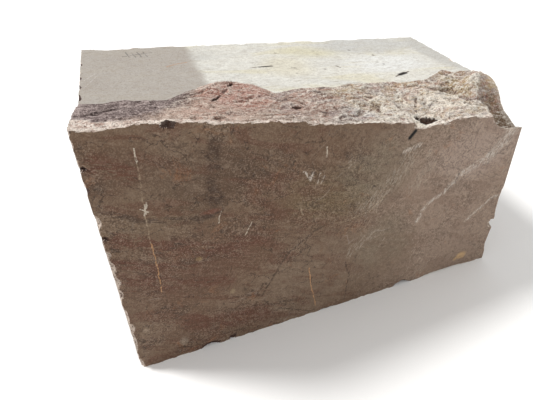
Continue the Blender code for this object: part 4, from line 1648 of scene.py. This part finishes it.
@dataclass(frozen=True)
class DustedFinish:
    """The sawn top under a dry film of stone dust: nearly white, with the stone showing through
    faintly, cracks, a pit, a rusty hairline and a tally in crayon, a painted shadow over its left
    part and painted shade along the back towards the right end. Set out as (x, y)."""

    dust: Color = srgb(219, 217, 208)
    # Painted shadow: the grey over the left part of the top.
    shadow_grey: Color = srgb(168, 161, 153)
    dust_yellow: Color = srgb(214, 208, 184)
    dust_cool: Color = srgb(198, 198, 194)
    # Painted shadow: how far along the block the grey left part reaches.
    shadow_end: float = 0.515
    crystal_size: float = 0.007
    clot_size: float = 0.024
    film: Pair = (0.84, 0.96)
    bump: float = 0.0009
    specular: float = 0.22
    roughness: Pair = (0.8, 0.96)
    patches: tuple[Patch, ...] = (
        Patch((1.12, 0.84, 0.98), (0.16, 0.07, 0.1), (206, 200, 170), 0.6),
        Patch((0.92, 0.66, 0.99), (0.12, 0.12, 0.1), (214, 207, 184), 0.55),
        # Painted shade: this patch and the next grey the back and the end of the top towards the right.
        Patch((1.48, 0.9, 0.97), (0.3, 0.13, 0.1), (192, 192, 189), 0.75, 0.35),
        Patch((1.84, 0.75, 0.94), (0.12, 0.3, 0.1), (188, 187, 182), 0.8, 0.25),
        Patch((1.45, 0.62, 0.96), (0.22, 0.12, 0.1), (228, 229, 226), 0.7),
        Patch((0.06, 0.56, 1.07), (0.1, 0.07, 0.1), (146, 136, 130), 0.55),
        # Painted shadow: grey towards the back of the left part.
        Patch((0.3, 0.85, 1.05), (0.3, 0.1, 0.1), (164, 162, 158), 0.4),
    )
    strokes: tuple[Strokes, ...] = (
        Strokes((88, 72, 62), 0.9, 0.3, (
            (2.8, ((750, 664), (853, 671))), (4.6, ((1392, 460), (1492, 508))),
            (4, ((938, 634), (960, 628))), (4, ((1163, 628), (1176, 605))),
        )),
        Strokes((32, 24, 21), 1.0, 0.3, (
            (5.6, ((790, 666), (853, 669))), (12, ((1425, 478), (1462, 494))),
        )),
        Strokes((174, 126, 90), 0.75, 0.4, (
            (2.8, ((381, 727), (426, 754), (477, 770))),
        )),
        Strokes((202, 196, 190), 0.45, 0.47, (
            (2.6, ((32, 607), (86, 695))), (2.2, ((39, 546), (89, 662))),
        )),
    )
    # Pits as (x, y, half length, half depth, strength), in millimetres:
    pits: tuple[tuple[float, ...], ...] = (
        (1091, 596, 7, 6, 0.6), (1421, 617, 6, 8, 0.6),
        (1434, 746, 7, 9, 0.7), (938, 568, 7, 6, 0.5),
        (929, 839, 8, 8, 0.5), (1341, 835, 8, 9, 0.6),
        (1400, 648, 10, 6, 0.5), (1138, 844, 10, 6, 0.4),
    )
    pit: Screen = (88, 76, 66)
    fleck: Color = srgb(150, 138, 122)
    # A tally near the back, in millimetres: strokes side by side, then one across them.
    crayon: Screen = (92, 90, 88)
    tally_start: Pair = (235, 865)
    tally_step: float = 26
    tally_stroke: Pair = (-14, 70)
    tally_count: int = 4
    crayon_half_width: float = 3

    def tally(self) -> Strokes:
        """The tally's strokes, each a step along from the last, and the one across them."""
        (x, y), (lean, length) = self.tally_start, self.tally_stroke
        lines = [
            ((x + n * self.tally_step, y), (x + n * self.tally_step + lean, y + length))
            for n in range(self.tally_count)
        ]
        end = x + self.tally_count * self.tally_step
        lines.append(((x - 30, y + length * 0.2), (end, y + length * 0.8)))
        return Strokes(self.crayon, 0.75, 0.45, tuple((self.crayon_half_width, path) for path in lines))

    def material(self, groups: StoneGroups) -> bpy.types.Material:
        """Builds the material.

        Args:
            groups: The shared node groups.

        Returns:
            The material.
        """
        stone = StoneMaterial("dusted_marble", groups, self.crystal_size, self.clot_size)
        nodes, place, crystals, clots = stone.nodes, stone.place, stone.crystals, stone.clots
        swept = nodes.vector("MULTIPLY", place, (0.28, 1.0, 1.0))
        streaks = nodes.noise(swept, 0.1, 6.0, 0.66, 0.6)
        wandered = groups.wandered(nodes, place, 0.1, 0.05)
        across = nodes.part(wandered, "X")
        dust = nodes.mix(nodes.fade(streaks, 0.38, 0.62, 0.0, 0.35), self.dust, self.dust_cool)
        yellow = nodes.fade(nodes.noise(swept, 0.15, 4.0, 0.6, 0.8), 0.5, 0.64, 0.0, 0.7)
        dust = nodes.mix(yellow, dust, self.dust_yellow)
        dust = groups.patches(nodes, wandered, dust, self.patches)
        # Painted shadow over the left part of the sawn top.
        left_shadow = nodes.fade(across, self.shadow_end + 0.02, self.shadow_end - 0.03, 0.0, 0.9)
        dust = nodes.mix(left_shadow, dust, self.shadow_grey)
        low, high = self.film
        stone.tint(nodes.fade(clots, 0.0, 1.0, low, high), dust)
        stone.tint(nodes.fade(crystals, 0.4, 0.0, 0.0, 0.26), SEAM_DARK)
        brushed = nodes.noise(nodes.vector("MULTIPLY", place, (0.16, 1.0, 1.0)), 0.008, 4.0, 0.7)
        stone.tint(nodes.fade(brushed, 0.5, 0.32, 0.0, 0.42), self.fleck)
        dashes = nodes.noise(nodes.vector("MULTIPLY", place, (0.25, 1.0, 1.0)), 0.009, 3.0, 0.65)
        stone.tint(nodes.fade(dashes, 0.57, 0.68, 0.0, 0.5), self.fleck)
        net = groups.lines(nodes, groups.cracks, swept, 0.16, 0.002, 0.58)
        stone.tint(nodes.times(net, 0.35), self.fleck)

        moved = groups.wandered(nodes, place, 0.02, 0.006)
        pits = tuple(
            Patch(on_top(*metres((x, y))), metres((long, deep, 20)), self.pit, strength, 0.4)
            for x, y, long, deep, strength in self.pits
        )
        stone.color = groups.patches(nodes, moved, stone.color, pits)
        flecks = nodes.noise(place, 0.01, 3.0, 0.65)
        for strokes in (*self.strokes, self.tally()):
            stone.color = groups.strokes(nodes, moved, stone.color, strokes, on_top, flecks)
        stone.knocked(clots, 0.3)

        low, high = self.roughness
        rough = nodes.fade(clots, 0.0, 1.0, low, high)
        height = nodes.math("ADD", nodes.times(crystals, 0.5), nodes.times(streaks, 0.5))
        return stone.finish(rough, height, self.bump, self.specular)


@dataclass(frozen=True)
class BrokenFinish:
    """Stone that was broken, not sawn: crystals and clots of cream, pink, ochre and grey, with
    painted highlight on the ridges and painted shade in the hollows, a painted shadow over the
    left end, a pale band of painted light along the lip, painted shade on the end flake and in
    some chips, and nearly white where a blow has crushed it."""

    crystal_size: float = 0.0055
    clot_size: float = 0.02
    scale_size: float = 0.014
    base: Color = srgb(182, 160, 145)
    # Painted highlight on the ridges: ridge, and cream further right. Painted shade in the hollows: hollow,
    # and deep under the shadow at the left end; deep is also the darkest crystals.
    ridge: Color = srgb(234, 219, 205)
    cream: Color = srgb(250, 243, 230)
    hollow: Color = srgb(106, 80, 68)
    deep: Color = srgb(44, 31, 26)
    # Painted shadow: the ridges under the shadow at the left end.
    shadowed_ridge: Color = srgb(208, 190, 184)
    # Painted highlight: the pale band along the front lip, lit where the break behind it is in shadow.
    lip: Color = srgb(255, 241, 229)
    lip_fleck: Color = srgb(170, 120, 100)
    # Widths of that painted highlight: at the left end, from about x 0.13 and from about x 0.36.
    lip_widths: Triple = (0.105, 0.036, 0.012)
    bump: float = 0.008
    specular: float = 0.28
    roughness: Pair = (0.7, 0.95)
    patches: tuple[Patch, ...] = (
        Patch((0.6, 0.35, 1.03), (0.15, 0.14, 0.3), (194, 146, 132), 0.85, 0.4),
        Patch((0.43, 0.16, 1.03), (0.17, 0.1, 0.3), (214, 184, 168), 0.75, 0.5),
        # Painted shadow: the dark mauve left end of the break.
        Patch((0.06, 0.35, 1.07), (0.36, 0.27, 0.3), (112, 96, 93), 0.95, 0.12),
        # Painted shadow: a darker spot of it towards the back.
        Patch((0.37, 0.41, 1.07), (0.08, 0.12, 0.3), (98, 80, 74), 0.85, 0.3),
        Patch((0.88, 0.26, 1.0), (0.13, 0.15, 0.3), (170, 138, 125), 0.7),
        Patch((1.34, 0.2, 0.95), (0.32, 0.22, 0.3), (248, 236, 219), 0.9, 0.35),
        Patch((1.22, 0.36, 0.97), (0.08, 0.05, 0.2), (176, 154, 150), 0.55),
        Patch((1.03, 0.15, 0.97), (0.07, 0.05, 0.2), (178, 174, 176), 0.65),
        Patch((0.92, 0.1, 0.99), (0.06, 0.04, 0.2), (160, 148, 144), 0.55),
        Patch((1.08, 0.32, 0.98), (0.11, 0.05, 0.2), (186, 160, 118), 0.55),
        Patch((1.64, 0.33, 0.93), (0.075, 0.1, 0.2), (158, 134, 90), 0.8),
        Patch((0.53, 0.17, 1.04), (0.04, 0.02, 0.2), (126, 110, 102), 0.65),
        # Painted shade: the side of a step up from the pocket.
        Patch((1.38, 0.26, 0.92), (0.022, 0.05, 0.2), (150, 144, 140), 0.7),
        # Painted shade: the end flake's face, turned from the light.
        Patch((1.8, 0.17, 0.86), (0.13, 0.22, 0.2), (158, 134, 110), 0.94, 0.12),
        # Painted shade: the lower part of the flake, darker still.
        Patch((1.81, 0.15, 0.8), (0.1, 0.11, 0.2), (92, 68, 44), 0.94),
    )
    # Cracks, as (x, y):
    cracks: Strokes = Strokes((82, 60, 54), 0.8, 0.4, (
        (5, ((597, 421), (572, 384), (539, 350), (512, 323), (484, 265))),
        (6, ((785, 318), (815, 314))),
        (5, ((866, 172), (915, 166))),
        (3.4, ((1679, 228), (1730, 247), (1787, 260))),
        (4, ((1404, 302), (1354, 238), (1327, 190))),
    ))
    # Small stains of other colours, as (colour, size, seed of their places, first x, share):
    stains: tuple[tuple[Color, float, float, float, float], ...] = (
        (srgb(176, 126, 108), 0.05, 1.7, 0.3, 0.6),
        (srgb(184, 154, 108), 0.036, 5.3, 0.95, 0.55),
        (srgb(156, 146, 148), 0.045, 9.1, 0.6, 0.5),
    )

    def material(self, groups: StoneGroups) -> bpy.types.Material:
        """Builds the material.

        Args:
            groups: The shared node groups.

        Returns:
            The material.
        """
        stone = StoneMaterial("broken_marble", groups, self.crystal_size, self.clot_size)
        nodes, place, crystals, clots = stone.nodes, stone.place, stone.crystals, stone.clots
        drawn_out = nodes.vector("MULTIPLY", place, (0.42, 1.0, 1.0))
        scales = nodes.group(groups.scales, {"Place": drawn_out, "Size": self.scale_size}).outputs
        height_above = nodes.part(place, "Z")
        stone.tint(nodes.fade(height_above, 0.76, 0.86, 0.25, 0.8), self.base)
        moved = groups.wandered(nodes, place, 0.07, 0.08)
        stone.color = groups.patches(nodes, moved, stone.color, self.patches)
        across = nodes.part(place, "X")
        high_up = nodes.fade(height_above, 0.8, 0.86)
        for color, size, seed, first_x, share in self.stains:
            shifted = nodes.vector("ADD", drawn_out, (seed, seed, seed))
            stained = nodes.fade(nodes.noise(shifted, size, 5.0, 0.65, 0.8), 0.5, 0.6, 0.0, share)
            reach = nodes.fade(across, first_x, first_x + 0.15)
            stone.tint(nodes.times(stained, reach, high_up), color)

        depth = groups.front_depth(nodes, moved)
        wide, middling, narrow = self.lip_widths
        narrowed = nodes.fade(across, 0.25, 0.36, middling, narrow)
        width = nodes.math("ADD", nodes.fade(across, 0.0, 0.13, wide - middling, 0.0), narrowed)
        at_lip = nodes.fade(nodes.math("DIVIDE", depth, width), 1.25, 0.85, 0.0, 0.9)
        # Painted highlight along the lip.
        stone.tint(nodes.times(at_lip, high_up), self.lip)
        flecked = nodes.times(at_lip, nodes.fade(clots, 0.3, 0.55, 0.75, 0.0))
        stone.tint(nodes.times(flecked, high_up), self.lip_fleck)
        creamy = nodes.fade(across, 0.7, 1.05, 0.0, 1.0)
        flaked = nodes.fade(nodes.math("ADD", across, nodes.times(depth, -0.55)), 1.6, 1.63, 1.0, 0.65)
        fine, broad = nodes.attribute("fine_relief"), nodes.attribute("broad_relief")
        heights, ridges = scales["Height"], scales["Ridge"]
        # Painted shadow over the left end of the break, up to a slanting line and kept off the lip: there
        # its ridges are dimmer and its hollows darker.
        aslant = nodes.math("ADD", across, nodes.times(depth, -0.5))
        shadowed_left = nodes.times(nodes.fade(aslant, 0.2, 0.27, 1.0, 0.0), nodes.fade(at_lip, 0.1, 0.7, 1.0, 0.0))
        pale = nodes.mix(shadowed_left, nodes.mix(creamy, self.ridge, self.cream), self.shadowed_ridge)
        hollow = nodes.mix(shadowed_left, self.hollow, self.deep)
        # Painted highlight on the ridges and painted shade in the hollows of the relief and of the scales,
        # less on the flake; the clots and crystals tint the grain.
        for value, start, end, share, color in (
            (broad, 0.2, 1.0, 0.3, pale), (broad, -0.1, -0.9, 0.45, hollow),
            (heights, 0.34, 0.14, 0.62, hollow), (fine, -0.2, -1.0, 0.65, hollow),
            (fine, 0.15, 0.9, 0.6, pale), (ridges, 0.0, 1.0, 0.65, pale),
            (clots, 0.3, 0.0, 0.25, hollow), (crystals, 0.58, 1.0, 0.5, pale),
            (crystals, 0.36, 0.0, 0.6, self.deep),
        ):
            stone.tint(nodes.times(nodes.fade(value, start, end, 0.0, share), flaked), color)
        plan = nodes.vector("MULTIPLY", place, (1.0, 1.0, 0.0))
        stone.color = groups.strokes(nodes, plan, stone.color, self.cracks, on_plan, clots)
        stone.knocked(clots, 0.75)

        low, high = self.roughness
        rough = nodes.fade(crystals, 1.0, 0.0, low, high)
        height = nodes.math("ADD", nodes.times(crystals, 0.3), nodes.times(heights, 0.7))
        return stone.finish(rough, height, self.bump, self.specular)


@dataclass(frozen=True)
class Studio:
    """A plain pale floor, soft light from behind and above the left, and the camera."""

    floor_half_width: float = 14.0
    floor_color: Color = srgb(248, 247, 245)
    floor_roughness: float = 0.85
    sky_strength: float = 0.74
    sun_strength: float = 2.5
    sun_softness: float = math.radians(12)
    sun_travel: Triple = (0.55, -0.34, -0.86)
    camera_place: Triple = (-0.7239, -1.7033, 1.7031)
    camera_yaw: float = -0.3097
    camera_pitch: float = 0.6413
    camera_roll: float = -0.0286
    lens: float = 29.04
    sensor_width: float = 36.0

    def build_floor(self) -> None:
        """Builds the floor that the block stands on, as a stage."""
        corners = np.array(((-1.0, -1.0, 0.0), (1.0, -1.0, 0.0), (1.0, 1.0, 0.0), (-1.0, 1.0, 0.0)))
        mesh = bpy.data.meshes.new("studio_floor")
        mesh.from_pydata((corners * self.floor_half_width).tolist(), [], [(0, 1, 2, 3)])
        material = bpy.data.materials.new("studio_floor")
        material.use_nodes = True
        shader = material.node_tree.nodes["Principled BSDF"]
        shader.inputs["Base Color"].default_value = self.floor_color
        shader.inputs["Roughness"].default_value = self.floor_roughness
        mesh.materials.append(material)
        floor = bpy.data.objects.new("studio_floor", mesh)
        bpy.context.scene.collection.objects.link(floor)

    def build_light(self) -> None:
        """Builds the white surroundings and the one soft lamp."""
        world = bpy.data.worlds.new("studio_world")
        world.use_nodes = True
        sky = world.node_tree.nodes["Background"]
        sky.inputs["Color"].default_value = (1.0, 1.0, 1.0, 1.0)
        sky.inputs["Strength"].default_value = self.sky_strength
        bpy.context.scene.world = world
        lamp = bpy.data.lights.new("studio_sun", "SUN")
        lamp.energy = self.sun_strength
        lamp.angle = self.sun_softness
        lamp_object = bpy.data.objects.new("studio_sun", lamp)
        lamp_object.rotation_euler = Vector(self.sun_travel).to_track_quat("-Z", "Y").to_euler()
        bpy.context.scene.collection.objects.link(lamp_object)

    def build_camera(self) -> None:
        """Builds the camera. It looks along (-sin yaw cos pitch, cos yaw cos pitch, -sin pitch),
        and its level right and its up are then rolled about that line."""
        yaw, pitch, roll = self.camera_yaw, self.camera_pitch, self.camera_roll
        level = np.array((math.cos(yaw), math.sin(yaw), 0.0))
        forwards = np.array((-math.sin(yaw), math.cos(yaw), 0.0))
        ahead = math.cos(pitch) * forwards - math.sin(pitch) * np.array((0.0, 0.0, 1.0))
        upright = np.cross(level, ahead)
        right = math.cos(roll) * level + math.sin(roll) * upright
        up = math.cos(roll) * upright - math.sin(roll) * level
        matrix = np.eye(4)
        matrix[:3] = np.column_stack((right, up, -ahead, self.camera_place))
        lens = bpy.data.cameras.new("camera")
        lens.lens = self.lens
        lens.sensor_width = self.sensor_width
        camera = bpy.data.objects.new("camera", lens)
        camera.matrix_world = Matrix(matrix)
        bpy.context.scene.collection.objects.link(camera)
        bpy.context.scene.camera = camera

    def build(self) -> None:
        """Builds the floor, the light and the camera, and shows colours as they are."""
        self.build_floor()
        self.build_light()
        self.build_camera()
        bpy.context.scene.view_settings.view_transform = "Standard"


def main() -> None:
    """Builds the block, its finishes and the studio, in that order."""
    logging.basicConfig(level=logging.INFO, format="%(name)s: %(message)s")
    block = MarbleBlock().build()
    log.info("%s: %d faces", block.name, len(block.data.polygons))
    groups = StoneGroups()
    for finish in (SawnFinish(), DustedFinish(), BrokenFinish()):  # In the order of Finish.
        material = finish.material(groups)
        block.data.materials.append(material)
        log.info("%s: %d nodes", material.name, len(material.node_tree.nodes))
    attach(block, "root")
    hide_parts("marble_block")
    Studio().build()


if __name__ == "__main__":
    main()
